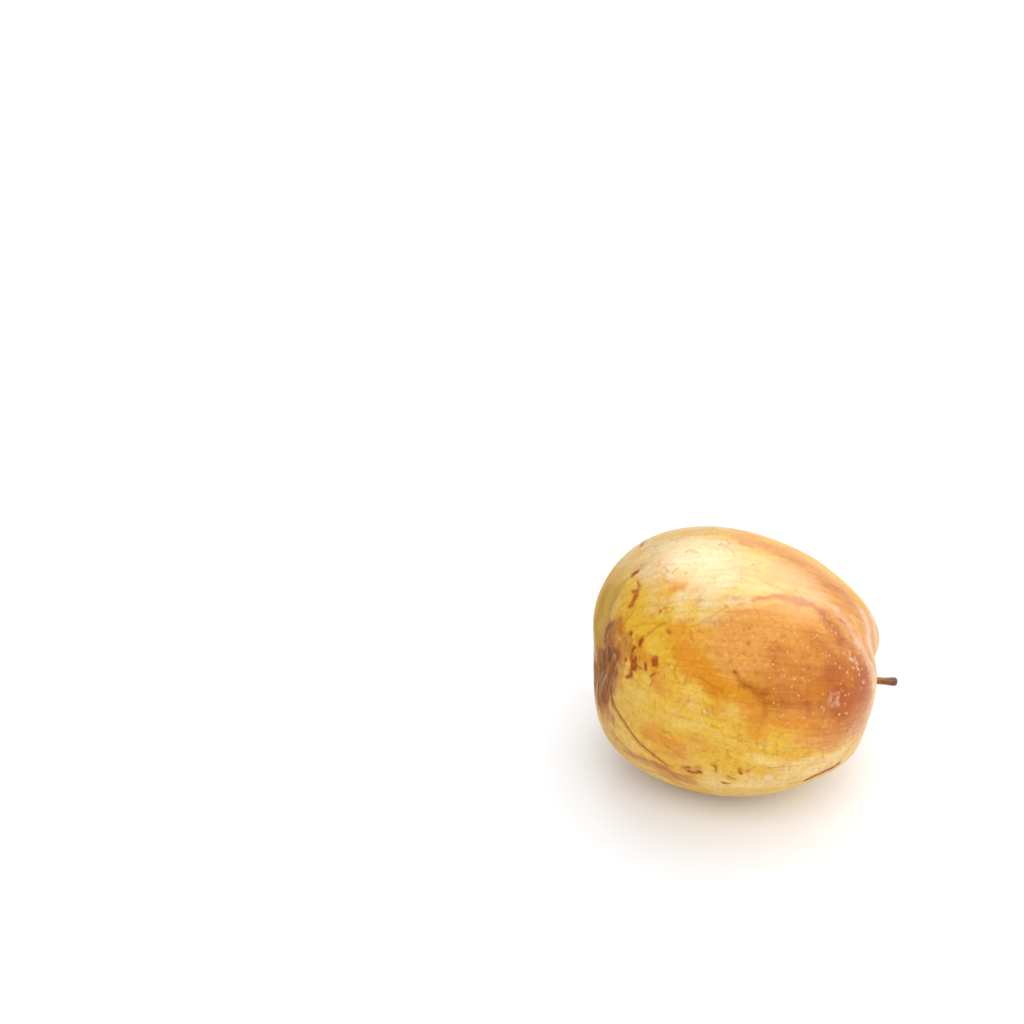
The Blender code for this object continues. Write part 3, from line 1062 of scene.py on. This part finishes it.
def ripe_skin(tree, shade, field, where, grain):
    """The broad colours: ripening clouds, olive, cream, blush and amber with torn edges, russet. Cream
    and pale are partly painted light, olive partly painted shade.
    """
    cloud = cloudy(tree, where, 4.0, (0.42, 0.70), Detail=4.0)

    # Wisps 0.7 mm wide and 6 mm long that run from end to end, and tear the edges of the colours
    wisps = drawn_out(tree, grain, (28.0, 28.0, 11.0), Detail=6.0, Roughness=0.6, Distortion=0.6)
    wisp = add_node(tree, "ShaderNodeMapRange", {
        "Value": wisps, "From Min": 0.48, "From Max": 0.72}, interpolation_type="SMOOTHSTEP")
    torn = {}
    for name in ("blush", "top_blush", "amber", "deep"):
        moved = add_node(tree, "ShaderNodeMath", {
            0: wisps, 1: WISP_PULL, 2: field[name]}, operation="MULTIPLY_ADD")
        torn[name] = torn_mask(tree, where, name, moved.outputs[0])
    colour = paint(tree, shade["yellow"], (
        (shade["pale_and_lit"], cloud, 0.45),
        # Olive, with painted shade on the far lobe beyond the rim
        (shade["olive_and_shade"], field["olive_and_shade"], 0.9),
        # Pale patches, partly painted bounce light and painted highlight
        (shade["pale_and_lit"], torn_mask(tree, where, "pale_and_lit", field["pale_and_lit"])),
        # Cream, partly painted highlight over the top
        (shade["cream_and_highlight"], torn_mask(tree, where, "cream_and_highlight", field["cream_and_highlight"]), 0.95),
        (shade["blush"], torn["blush"]),
        (shade["blush"], torn["top_blush"], 0.95),
        (shade["amber"], torn["amber"], 0.85),
        (shade["amber"], wisp.outputs["Result"], 0.28),
        (shade["deep_blush"], torn["deep"], 0.9),
    ))

    # Streaks 0.7 mm wide and 18 mm long, the same way: faint russet on the blush, the line above it,
    # and russet and whitish streaks down the far lobe, partly bloom and partly painted highlight
    streaks = drawn_out(tree, grain, (30.0, 30.0, 4.0), Detail=4.0, Roughness=0.6, Distortion=0.5)
    dark = add_node(tree, "ShaderNodeMapRange", {
        "Value": streaks, "From Min": 0.48, "From Max": 0.72, "To Max": 0.6},
        interpolation_type="SMOOTHSTEP")
    light = add_node(tree, "ShaderNodeMapRange", {
        "Value": streaks, "From Min": 0.48, "From Max": 0.30, "To Max": 0.32},
        interpolation_type="SMOOTHSTEP")
    split = add_node(tree, "ShaderNodeMath", {
        0: streaks, 1: STREAK_PULL, 2: field["edge_line"]}, operation="MULTIPLY_ADD")
    return paint(tree, colour, (
        (shade["russet"], dark.outputs["Result"], 0.2, field["blush"]),
        (shade["deep_blush"], torn_mask(tree, where, "edge_line", split.outputs[0]), 0.8),
        (shade["russet"], dark.outputs["Result"], field["russet"]),
        # Whitish streaks down the far lobe, partly painted highlight
        (shade["bloom_and_highlight"], light.outputs["Result"], field["russet"]),
    ))


def worn_skin(tree, shade, field, where, colour, mottle):
    """What covers the whole skin: mottling, grains, thin curved scratches, freckles and specks."""
    # The mottling of 0.5 mm makes the skin a little lighter and darker. Grains of 0.8 mm go with it
    gain = add_node(tree, "ShaderNodeMapRange", {
        "Value": mottle, "From Min": 0.3, "From Max": 0.7, "To Min": 0.92, "To Max": 1.08})
    colour = add_node(tree, "ShaderNodeVectorMath", {
        0: colour, "Scale": gain.outputs["Result"]}, operation="SCALE").outputs["Vector"]
    grains = cloudy(tree, where, 0.8, (0.50, 0.72), Detail=4.0, Roughness=0.7)

    # Scratches 0.1 mm wide, curved, where a noise of 2.4 mm allows them
    bends = add_node(tree, "ShaderNodeTexNoise", {
        "Vector": where, "Scale": per(1.9), "Detail": 1.0, "Distortion": 0.8})
    off = add_node(tree, "ShaderNodeMath", {0: bends.outputs["Fac"], 1: 0.5}, operation="SUBTRACT")
    across = add_node(tree, "ShaderNodeMath", {0: off.outputs[0]}, operation="ABSOLUTE")
    thin = add_node(tree, "ShaderNodeMapRange", {
        "Value": across.outputs[0], "From Min": 0.006, "From Max": 0.024, "To Min": 1.0, "To Max": 0.0})
    allowed = cloudy(tree, where, 2.4, (0.55, 0.66), Detail=3.0)

    # Freckles up to 0.5 mm across, in two of every five cells of 2.6 mm
    cells = add_node(tree, "ShaderNodeTexVoronoi", {"Vector": where, "Scale": per(2.6)})
    chosen = add_node(tree, "ShaderNodeSeparateColor", {"Color": cells.outputs["Color"]})
    size = add_node(tree, "ShaderNodeMapRange", {
        "Value": chosen.outputs["Red"], "From Min": 0.6, "From Max": 1.0, "To Min": 0.0,
        "To Max": 0.09})
    inside = add_node(tree, "ShaderNodeMath", {
        0: size.outputs["Result"], 1: cells.outputs["Distance"]}, operation="SUBTRACT")
    freckle = add_node(tree, "ShaderNodeMapRange", {
        "Value": inside.outputs[0], "From Min": -0.03, "From Max": 0.02},
        interpolation_type="SMOOTHSTEP")

    # Soft pale specks 0.4 mm across, only where the skin is blushed: lenticels still under the wax
    near = add_node(tree, "ShaderNodeTexVoronoi", {"Vector": where, "Scale": per(1.3)})
    specks = add_node(tree, "ShaderNodeMapRange", {
        "Value": near.outputs["Distance"], "From Min": 0.26, "From Max": 0.08, "To Max": 0.36},
        interpolation_type="SMOOTHSTEP")
    return paint(tree, colour, (
        (shade["rust"], grains, 0.2),
        (shade["deep_blush"], grains, 0.28, field["blush"]),
        (shade["pale_and_lit"], specks.outputs["Result"], field["blush"]),
        (shade["amber"], cloudy(tree, where, 2.4, (0.46, 0.70), Detail=3.0), 0.25),
        (shade["rust"], thin.outputs["Result"], allowed, 0.6),
        (shade["russet"], freckle.outputs["Result"], chosen.outputs["Green"], 0.7),
    ))


def marked_skin(tree, shade, field, where, colour, lines):
    """The halo and folds round the style end, the crease, the faint scratches and the healed marks."""
    distance = add_node(tree, "ShaderNodeMath", {0: field["crease"]}, operation="ABSOLUTE").outputs[0]
    inside = add_node(tree, "ShaderNodeMath", {
        0: CREASE_HALF_WIDTH, 1: distance}, operation="SUBTRACT").outputs[0]
    fade = field["crease_fade"]

    # The halo breaks up into streaks that fan out from the style end
    fanned = add_node(tree, "ShaderNodeMath", {
        0: lines, 1: HALO_PULL, 2: field["halo"]}, operation="MULTIPLY_ADD")

    # A healed mark fades in and out along its length, as its cork is thick or thin
    depth = cloudy(tree, where, 0.9, (0.30, 0.55), (0.45, 1.0), "LINEAR", Detail=4.0, Roughness=0.65)
    dark = add_node(tree, "ShaderNodeMath", {
        0: torn_mask(tree, where, "dark", field["dark"]), 1: depth}, operation="MULTIPLY").outputs[0]
    colour = paint(tree, colour, (
        (shade["russet"], torn_mask(tree, where, "halo", fanned.outputs[0]), 0.85),
        (shade["russet"], torn_mask(tree, where, "beside_crease", inside), fade, 0.45),
        (shade["russet"], torn_mask(tree, where, "fold_lines", field["fold_lines"]), 0.65),
        (shade["russet"], torn_mask(tree, where, "folds", field["folds"]), 0.55),
        (shade["mark"], torn_mask(tree, where, "crease", inside), fade, 0.85),
        (shade["rust"], torn_mask(tree, where, "faint", field["faint"]), 0.7),
        (shade["rust"], torn_mask(tree, where, "round_dark", field["dark"]), 0.8),
        (shade["mark"], dark, 0.95),
        (shade["heart"], torn_mask(tree, where, "heart", field["dark"]), 0.65),
    ))
    return colour, dark


def scarred_skin(tree, shade, field, where, colour, lines):
    """The style end: brown skin in wrinkles, near-black grooves, pale cork on the ridges; then the
    bloom with painted highlights and glints.
    """
    line = add_node(tree, "ShaderNodeMapRange", {
        "Value": lines, "From Min": 0.42, "From Max": 0.62}, interpolation_type="SMOOTHSTEP")
    wrinkled = paint(tree, shade["scar"], ((shade["rust"], line.outputs["Result"], 0.55),))
    frayed = add_node(tree, "ShaderNodeMath", {
        0: lines, 1: SCAR_PULL, 2: field["scar"]}, operation="MULTIPLY_ADD")
    scar = torn_mask(tree, where, "scar", frayed.outputs[0])
    left = cloudy(tree, where, 0.8, (0.36, 0.60), (0.2, 1.0), "LINEAR", Detail=3.0)
    cork = add_node(tree, "ShaderNodeMath", {
        0: torn_mask(tree, where, "cork", field["cork"]), 1: left}, operation="MULTIPLY").outputs[0]
    colour = paint(tree, colour, (
        (wrinkled, scar, 0.9),
        (shade["groove"], torn_mask(tree, where, "groove", field["groove"]), 0.58),
        (shade["cork"], cork, 0.6),
        # Bloom, and painted highlights and glints
        (shade["bloom_and_highlight"], torn_mask(tree, where, "bloom_and_highlight", field["bloom_and_highlight"]), 0.6),
    ))
    return colour, scar, cork


def skin_material(settings):
    """Waxy fruit skin: half-gloss, mottled yellow under a blush, with healed russet marks."""
    material, tree, shader = new_material("waxy_jujube_skin")
    where = add_node(tree, "ShaderNodeTexCoord").outputs["Object"]
    grain = add_node(tree, "ShaderNodeAttribute", attribute_name="grain").outputs["Vector"]
    field = {name: add_node(tree, "ShaderNodeAttribute", attribute_name=name).outputs["Fac"]
             for name in PAINTED}
    shade = {name: solid(getattr(settings, name)) for name in SKIN_COLOURS}
    mottle = add_node(tree, "ShaderNodeTexNoise", {"Vector": where, "Scale": per(0.5), "Detail": 3.0})
    mottle = mottle.outputs["Fac"]

    # Upright lines 0.7 mm wide and 4.5 mm long, which wrinkle the scar and fray its edge
    lines = drawn_out(tree, where, (per(0.7), per(0.7), per(4.5)), Detail=4.0)
    colour = ripe_skin(tree, shade, field, where, grain)
    colour = worn_skin(tree, shade, field, where, colour, mottle)
    colour, dark = marked_skin(tree, shade, field, where, colour, lines)
    colour, scar, cork = scarred_skin(tree, shade, field, where, colour, lines)
    tree.links.new(colour, shader.inputs["Base Color"])

    # Wax: half-gloss, duller on marks, scar and cork, and where it has worn off
    worn = scar
    for other in (dark, cork, field["dull"]):
        worn = add_node(tree, "ShaderNodeMath", {0: worn, 1: other}, operation="MAXIMUM").outputs[0]
    clean = add_node(tree, "ShaderNodeMapRange", {
        "Value": mottle, "To Min": settings.roughness - ROUGHNESS_RANGE,
        "To Max": settings.roughness + ROUGHNESS_RANGE})
    rough = add_node(tree, "ShaderNodeMix", {
        0: worn, 2: clean.outputs["Result"], 3: WORN_ROUGHNESS}, data_type="FLOAT")
    tree.links.new(rough.outputs[0], shader.inputs["Roughness"])
    shader.inputs["IOR"].default_value = 1.46
    shader.inputs["Specular Tint"].default_value = solid(linear("#FFF2DC"))

    # Bump: the mottled pits, and the fine lines of the scar
    heights = add_node(tree, "ShaderNodeMath", {0: lines, 1: scar, 2: mottle}, operation="MULTIPLY_ADD")
    bump = add_node(tree, "ShaderNodeBump", {
        "Height": heights.outputs[0], "Strength": 0.35, "Distance": 0.05 * MM})
    tree.links.new(bump.outputs["Normal"], shader.inputs["Normal"])
    return material


def lenticel_material(settings):
    """Dry pale cork of a lenticel: matt, a little uneven."""
    material, tree, shader = new_material("lenticel_cork")
    where = add_node(tree, "ShaderNodeTexCoord").outputs["Object"]
    share = cloudy(tree, where, 1.5, (0.35, 0.65), (0.0, 0.5), "LINEAR", Detail=2.0)
    colour = paint(tree, solid(settings.colour), ((solid(settings.speck), share),))
    tree.links.new(colour, shader.inputs["Base Color"])
    shader.inputs["Roughness"].default_value = 0.5
    shader.inputs["Specular IOR Level"].default_value = 0.2
    return material


def bark_material(settings):
    """Dried green stalk: brown bark with shrunken ridges, olive below, darker at the broken tip."""
    material, tree, shader = new_material("dry_stalk_bark")
    where = add_node(tree, "ShaderNodeTexCoord").outputs["Object"]
    along = add_node(tree, "ShaderNodeAttribute", attribute_name="along").outputs["Fac"]
    under = add_node(tree, "ShaderNodeAttribute", attribute_name="under").outputs["Fac"]
    colour = paint(tree, solid(settings.bark), (
        (solid(settings.under), under),
        (solid(settings.tip), torn_mask(tree, where, "tip", along)),
    ))

    # Fibres 0.3 mm wide and 1.6 mm long
    fibres = drawn_out(tree, where, (per(1.6), per(0.3), per(0.3)), Detail=5.0)
    gain = add_node(tree, "ShaderNodeMapRange", {
        "Value": fibres, "From Min": 0.3, "From Max": 0.7, "To Min": 0.6, "To Max": 1.4})
    colour = add_node(tree, "ShaderNodeVectorMath", {
        0: colour, "Scale": gain.outputs["Result"]}, operation="SCALE").outputs["Vector"]
    tree.links.new(colour, shader.inputs["Base Color"])
    shader.inputs["Roughness"].default_value = 0.72
    bump = add_node(tree, "ShaderNodeBump", {"Height": fibres, "Strength": 0.6, "Distance": 0.08 * MM})
    tree.links.new(bump.outputs["Normal"], shader.inputs["Normal"])
    return material


def floor_material(settings):
    """Plain white sweep, matt, with the faintest unevenness."""
    material, tree, shader = new_material("white_sweep")
    where = add_node(tree, "ShaderNodeTexCoord").outputs["Object"]
    share = cloudy(tree, where, 120.0, (0.0, 1.0), (0.0, 0.3), "LINEAR")
    colour = paint(tree, solid(settings.floor), ((solid(settings.shade), share),))
    tree.links.new(colour, shader.inputs["Base Color"])
    shader.inputs["Roughness"].default_value = 0.9
    return material


def finished_mesh(name, bm):
    """A mesh made from a bmesh, which is freed."""
    mesh = bpy.data.meshes.new(name)
    bm.to_mesh(mesh)
    bm.free()
    return mesh


def new_object(name, mesh, material):
    """Links a mesh into the scene as a smooth object with one material."""
    mesh.materials.append(material)
    mesh.shade_smooth()
    item = bpy.data.objects.new(name, mesh)
    bpy.context.scene.collection.objects.link(item)
    return item


class JUJUBE_OT_skin(bpy.types.Operator):
    """Builds the fruit's skin with its fine relief and paints its marks"""
    bl_idname = "jujube.skin"
    bl_label = "Skin"

    def execute(self, context):
        settings = context.scene.jujube_skin
        bm, ways = cube_directions()
        smooth = skin_points(ways)
        fields = skin_fields(smooth, ways)
        points = smooth + ways * (relief(smooth, fields) * settings.relief)[:, None]
        points[:, 2] = np.maximum(points[:, 2], 0.0)
        for vert, point in zip(bm.verts, points):
            vert.co = point
        bmesh.ops.recalc_face_normals(bm, faces=bm.faces)
        mesh = finished_mesh("fruit_skin", bm)
        for name in ("grain", *PAINTED):
            store(mesh, name, fields[name])
        skin = new_object("fruit_skin", mesh, skin_material(settings))
        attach(skin, "root")
        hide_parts("fruit")
        return {"FINISHED"}


def lenticel_tree(material):
    """Scatters low domes over a mesh, thickest on the blush, sizes varied."""
    tree = bpy.data.node_groups.new("lenticels", "GeometryNodeTree")
    for name, side, kind in (("Geometry", "INPUT", "Geometry"), ("Radius", "INPUT", "Float"),
                             ("Spacing", "INPUT", "Float"), ("Seed", "INPUT", "Int"),
                             ("Geometry", "OUTPUT", "Geometry")):
        tree.interface.new_socket(name, in_out=side, socket_type="NodeSocket" + kind)
    given = add_node(tree, "NodeGroupInput")
    blush = add_node(tree, "GeometryNodeInputNamedAttribute", {"Name": "blush"}, data_type="FLOAT")
    share = add_node(tree, "ShaderNodeMapRange", {
        "Value": blush.outputs["Attribute"], "From Min": BLUSH_LEVELS[0], "From Max": BLUSH_LEVELS[1],
        "To Min": LENTICEL_SHARES[0], "To Max": LENTICEL_SHARES[1]})
    points = add_node(tree, "GeometryNodeDistributePointsOnFaces", {
        "Mesh": given.outputs["Geometry"], "Distance Min": given.outputs["Spacing"],
        "Density Max": LENTICELS_PER_AREA, "Density Factor": share.outputs["Result"],
        "Seed": given.outputs["Seed"]}, distribute_method="POISSON")
    dome = add_node(tree, "GeometryNodeMeshIcoSphere", {
        "Radius": given.outputs["Radius"], "Subdivisions": 2})
    size = add_node(tree, "FunctionNodeRandomValue", {
        2: LENTICEL_SIZES[0], 3: LENTICEL_SIZES[1], "Seed": LENTICEL_SIZE_SEED}, data_type="FLOAT")
    flat = add_node(tree, "ShaderNodeCombineXYZ", {"X": 1.0, "Y": 1.0, "Z": DOME_HEIGHT})
    scale = add_node(tree, "ShaderNodeVectorMath", {
        0: flat.outputs["Vector"], "Scale": size.outputs[1]}, operation="SCALE")
    placed = add_node(tree, "GeometryNodeInstanceOnPoints", {
        "Points": points.outputs["Points"], "Instance": dome.outputs["Mesh"],
        "Rotation": points.outputs["Rotation"], "Scale": scale.outputs["Vector"]})
    real = add_node(tree, "GeometryNodeRealizeInstances", {"Geometry": placed.outputs["Instances"]})
    dressed = add_node(tree, "GeometryNodeSetMaterial", {
        "Geometry": real.outputs["Geometry"], "Material": material})
    add_node(tree, "NodeGroupOutput", {"Geometry": dressed.outputs["Geometry"]})
    return tree


class JUJUBE_OT_lenticels(bpy.types.Operator):
    """Scatters the pale lenticels over the skin"""
    bl_idname = "jujube.lenticels"
    bl_label = "Lenticels"

    def execute(self, context):
        settings = context.scene.jujube_lenticels
        material = lenticel_material(settings)
        host = bpy.data.objects.new("lenticel_host", bpy.data.objects["fruit_skin"].data)
        context.scene.collection.objects.link(host)
        modifier = host.modifiers.new("scatter", "NODES")
        modifier.node_group = lenticel_tree(material)
        given = {"Radius": settings.radius, "Spacing": settings.spacing, "Seed": settings.seed}
        for item in modifier.node_group.interface.items_tree:
            if item.name in given:
                modifier[item.identifier] = given[item.name]
        graph = context.evaluated_depsgraph_get()
        mesh = bpy.data.meshes.new_from_object(host.evaluated_get(graph), depsgraph=graph)
        bpy.data.objects.remove(host)
        if not mesh.vertices:
            raise RuntimeError("the scatter of lenticels is empty")
        mesh.materials.clear()
        lenticels = new_object("lenticels", mesh, material)
        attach(lenticels, "root")
        return {"FINISHED"}


def stalk_frame():
    """A frame at the foot of the stalk, its Z axis out of the fruit along the stalk."""
    way = heading(*STALK_END)
    foot = skin_points(way[None, :])[0] - way * STALK_BURIED
    turn = Vector((0.0, 0.0, 1.0)).rotation_difference(Vector(way))
    return Matrix.Translation(foot) @ turn.to_matrix().to_4x4()


def stalk_rings(ridge_depth):
    """Rings of points along the stalk in its own frame, and each point's share of the length."""
    stops, radii = np.array(STALK_SECTIONS).T
    length = stops[-1]
    rings = np.linspace(0.0, length, STALK_RINGS)
    turns = np.linspace(0.0, 2.0 * math.pi, STALK_SIDES, endpoint=False)
    along, turn = (grid.ravel() for grid in np.meshgrid(rings, turns, indexing="ij"))
    circle = np.column_stack((np.cos(turn), np.sin(turn)))
    ridges = lumps(np.column_stack((circle * RIDGES_AROUND, along / RIDGE_LENGTH)), 1.0)
    tip = ramp(along, length - TIP_LENGTH, length)
    radius = np.interp(along, stops, radii) + COLLAR_HEIGHT * bell(along - STALK_BURIED, COLLAR_SPREAD)
    radius = radius + ridge_depth * ridges * (1.0 + TIP_RIDGES * tip)
    points = np.column_stack((circle * radius[:, None], along))
    points[:, 0] -= STALK_BEND * (along / length) ** 2
    return points, along / length


def closed_tube(points, sides, hollow):
    """A bmesh tube through rings of points, its foot closed flat and its tip closed by a hollow."""
    bm = bmesh.new()
    verts = [bm.verts.new(point) for point in points]
    rings = [verts[first:first + sides] for first in range(0, len(verts), sides)]
    for low, high in zip(rings, rings[1:]):
        for side in range(sides):
            after = (side + 1) % sides
            bm.faces.new((low[side], low[after], high[after], high[side]))
    for rim, depth in ((rings[0], 0.0), (rings[-1], hollow)):
        middle = bm.verts.new(np.mean([vert.co for vert in rim], axis=0) - (0.0, 0.0, depth))
        for side in range(sides):
            bm.faces.new((rim[side], rim[(side + 1) % sides], middle))
    return bm


class JUJUBE_OT_stalk(bpy.types.Operator):
    """Builds the dried stalk with its shrunken ridges and broken tip"""
    bl_idname = "jujube.stalk"
    bl_label = "Stalk"

    def execute(self, context):
        settings = context.scene.jujube_stalk
        points, shares = stalk_rings(settings.ridges)
        bm = closed_tube(points, STALK_SIDES, TIP_HOLLOW)
        bmesh.ops.transform(bm, matrix=stalk_frame(), verts=bm.verts)
        bmesh.ops.recalc_face_normals(bm, faces=bm.faces)
        mesh = finished_mesh("stalk_bark", bm)
        store(mesh, "along", np.append(shares, (0.0, 1.0)) - TIP_DARK_FROM)
        heights = np.array([vert.normal.z for vert in mesh.vertices])
        store(mesh, "under", ramp(-heights, 0.0, UNDERSIDE_SLOPE) * UNDERSIDE_STRENGTH)
        stalk = new_object("stalk_bark", mesh, bark_material(settings))
        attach(stalk, "root")
        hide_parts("stalk")
        return {"FINISHED"}


def add_panel(name, panel, radiance, mirrored=True, lighting=True):
    """A soft rectangular light that faces the fruit; its power follows from its radiance."""
    azimuth, elevation, half_width, half_height = panel
    light = bpy.data.lights.new(name, "AREA")
    light.shape = "RECTANGLE"
    light.size = 2.0 * PANEL_DISTANCE * math.tan(math.radians(half_width))
    light.size_y = 2.0 * PANEL_DISTANCE * math.tan(math.radians(half_height))
    light.energy = radiance * math.pi * light.size * light.size_y
    way = Vector(heading(azimuth, elevation))
    holder = bpy.data.objects.new(name, light)
    holder.location = Vector(CENTRE) + way * PANEL_DISTANCE * (1.0 if lighting else GLOSS_STEP_BACK)
    holder.rotation_euler = (-way).to_track_quat("-Z", "Y").to_euler()
    holder.visible_camera = False
    holder.visible_glossy = mirrored
    holder.visible_diffuse = lighting
    bpy.context.scene.collection.objects.link(holder)


def white_room(settings):
    """A white room, brighter behind the fruit than in front of it."""
    world = bpy.data.worlds.new("white_room")
    world.use_nodes = True
    tree = world.node_tree
    where = add_node(tree, "ShaderNodeTexCoord").outputs["Generated"]
    facing = add_node(tree, "ShaderNodeVectorMath", {
        0: where, 1: heading(*BRIGHT_SIDE)}, operation="DOT_PRODUCT")
    strength = add_node(tree, "ShaderNodeMapRange", {
        "Value": facing.outputs["Value"], "From Min": ROOM_RISE[0], "From Max": ROOM_RISE[1],
        "To Min": settings.room_front, "To Max": settings.room_back})
    background = tree.nodes["Background"]
    tree.links.new(strength.outputs["Result"], background.inputs["Strength"])
    background.inputs["Color"].default_value = (1.0, 1.0, 1.0, 1.0)
    return world


def add_camera():
    """The photograph's camera."""
    back, right, up = camera_axes()
    lens = bpy.data.cameras.new("camera")
    lens.sensor_width = SENSOR
    lens.lens = SENSOR * CAMERA_DISTANCE / (PICTURE_SIZE * PIXEL)
    lens.clip_start, lens.clip_end = CAMERA_CLIP
    camera = bpy.data.objects.new("camera", lens)
    turn = Matrix((right, up, back)).transposed().to_4x4()
    camera.matrix_world = Matrix.Translation(camera_eye()) @ turn
    bpy.context.scene.collection.objects.link(camera)
    bpy.context.scene.camera = camera


class JUJUBE_OT_stage(bpy.types.Operator):
    """Sets the white floor, the room's light and the camera"""
    bl_idname = "jujube.stage"
    bl_label = "Stage"

    def execute(self, context):
        settings = context.scene.jujube_stage
        bm = bmesh.new()
        bmesh.ops.create_grid(bm, x_segments=FLOOR_SQUARES, y_segments=FLOOR_SQUARES, size=FLOOR_HALF)
        new_object("floor", finished_mesh("floor", bm), floor_material(settings))
        context.scene.world = white_room(settings)
        add_panel("back_panel", BACK_PANEL, settings.back_light)
        add_panel("gloss_panel", BACK_PANEL, settings.gloss_light, lighting=False)
        add_panel("strip_panel", STRIP_PANEL, settings.strip_light)
        add_panel("top_panel", TOP_PANEL, settings.top_light)
        add_panel("side_panel", SIDE_PANEL, settings.side_light)
        add_panel("fill_panel", FILL_PANEL, settings.fill_light, mirrored=False)
        add_camera()
        context.scene.view_settings.view_transform = "Standard"
        return {"FINISHED"}


class JUJUBE_PT_panel(bpy.types.Panel):
    """Lists the jujube's pieces and their settings"""
    bl_idname = "JUJUBE_PT_panel"
    bl_label = "Jujube"
    bl_space_type = "VIEW_3D"
    bl_region_type = "UI"
    bl_category = "Jujube"

    def draw(self, context):
        for operator, settings in PIECES:
            box = self.layout.box()
            box.operator(operator.bl_idname)
            group = getattr(context.scene, settings)
            for name in group.__annotations__:
                box.prop(group, name)


PIECES = (
    (JUJUBE_OT_skin, "jujube_skin"),
    (JUJUBE_OT_lenticels, "jujube_lenticels"),
    (JUJUBE_OT_stalk, "jujube_stalk"),
    (JUJUBE_OT_stage, "jujube_stage"),
)
SETTINGS = (
    ("jujube_skin", JujubeSkinSettings),
    ("jujube_lenticels", JujubeLenticelSettings),
    ("jujube_stalk", JujubeStalkSettings),
    ("jujube_stage", JujubeStageSettings),
)


def register():
    """Makes the operators, the panel and the settings known to Blender."""
    for name, group in SETTINGS:
        bpy.utils.register_class(group)
        setattr(bpy.types.Scene, name, bpy.props.PointerProperty(type=group))
    for operator, _ in PIECES:
        bpy.utils.register_class(operator)
    bpy.utils.register_class(JUJUBE_PT_panel)


def unregister():
    """Takes back what register made known."""
    bpy.utils.unregister_class(JUJUBE_PT_panel)
    for operator, _ in reversed(PIECES):
        bpy.utils.unregister_class(operator)
    for name, group in reversed(SETTINGS):
        delattr(bpy.types.Scene, name)
        bpy.utils.unregister_class(group)


def main():
    """Builds every piece and the stage."""
    register()
    bpy.ops.jujube.skin()
    bpy.ops.jujube.lenticels()
    bpy.ops.jujube.stalk()
    bpy.ops.jujube.stage()


if __name__ == "__main__":
    main()
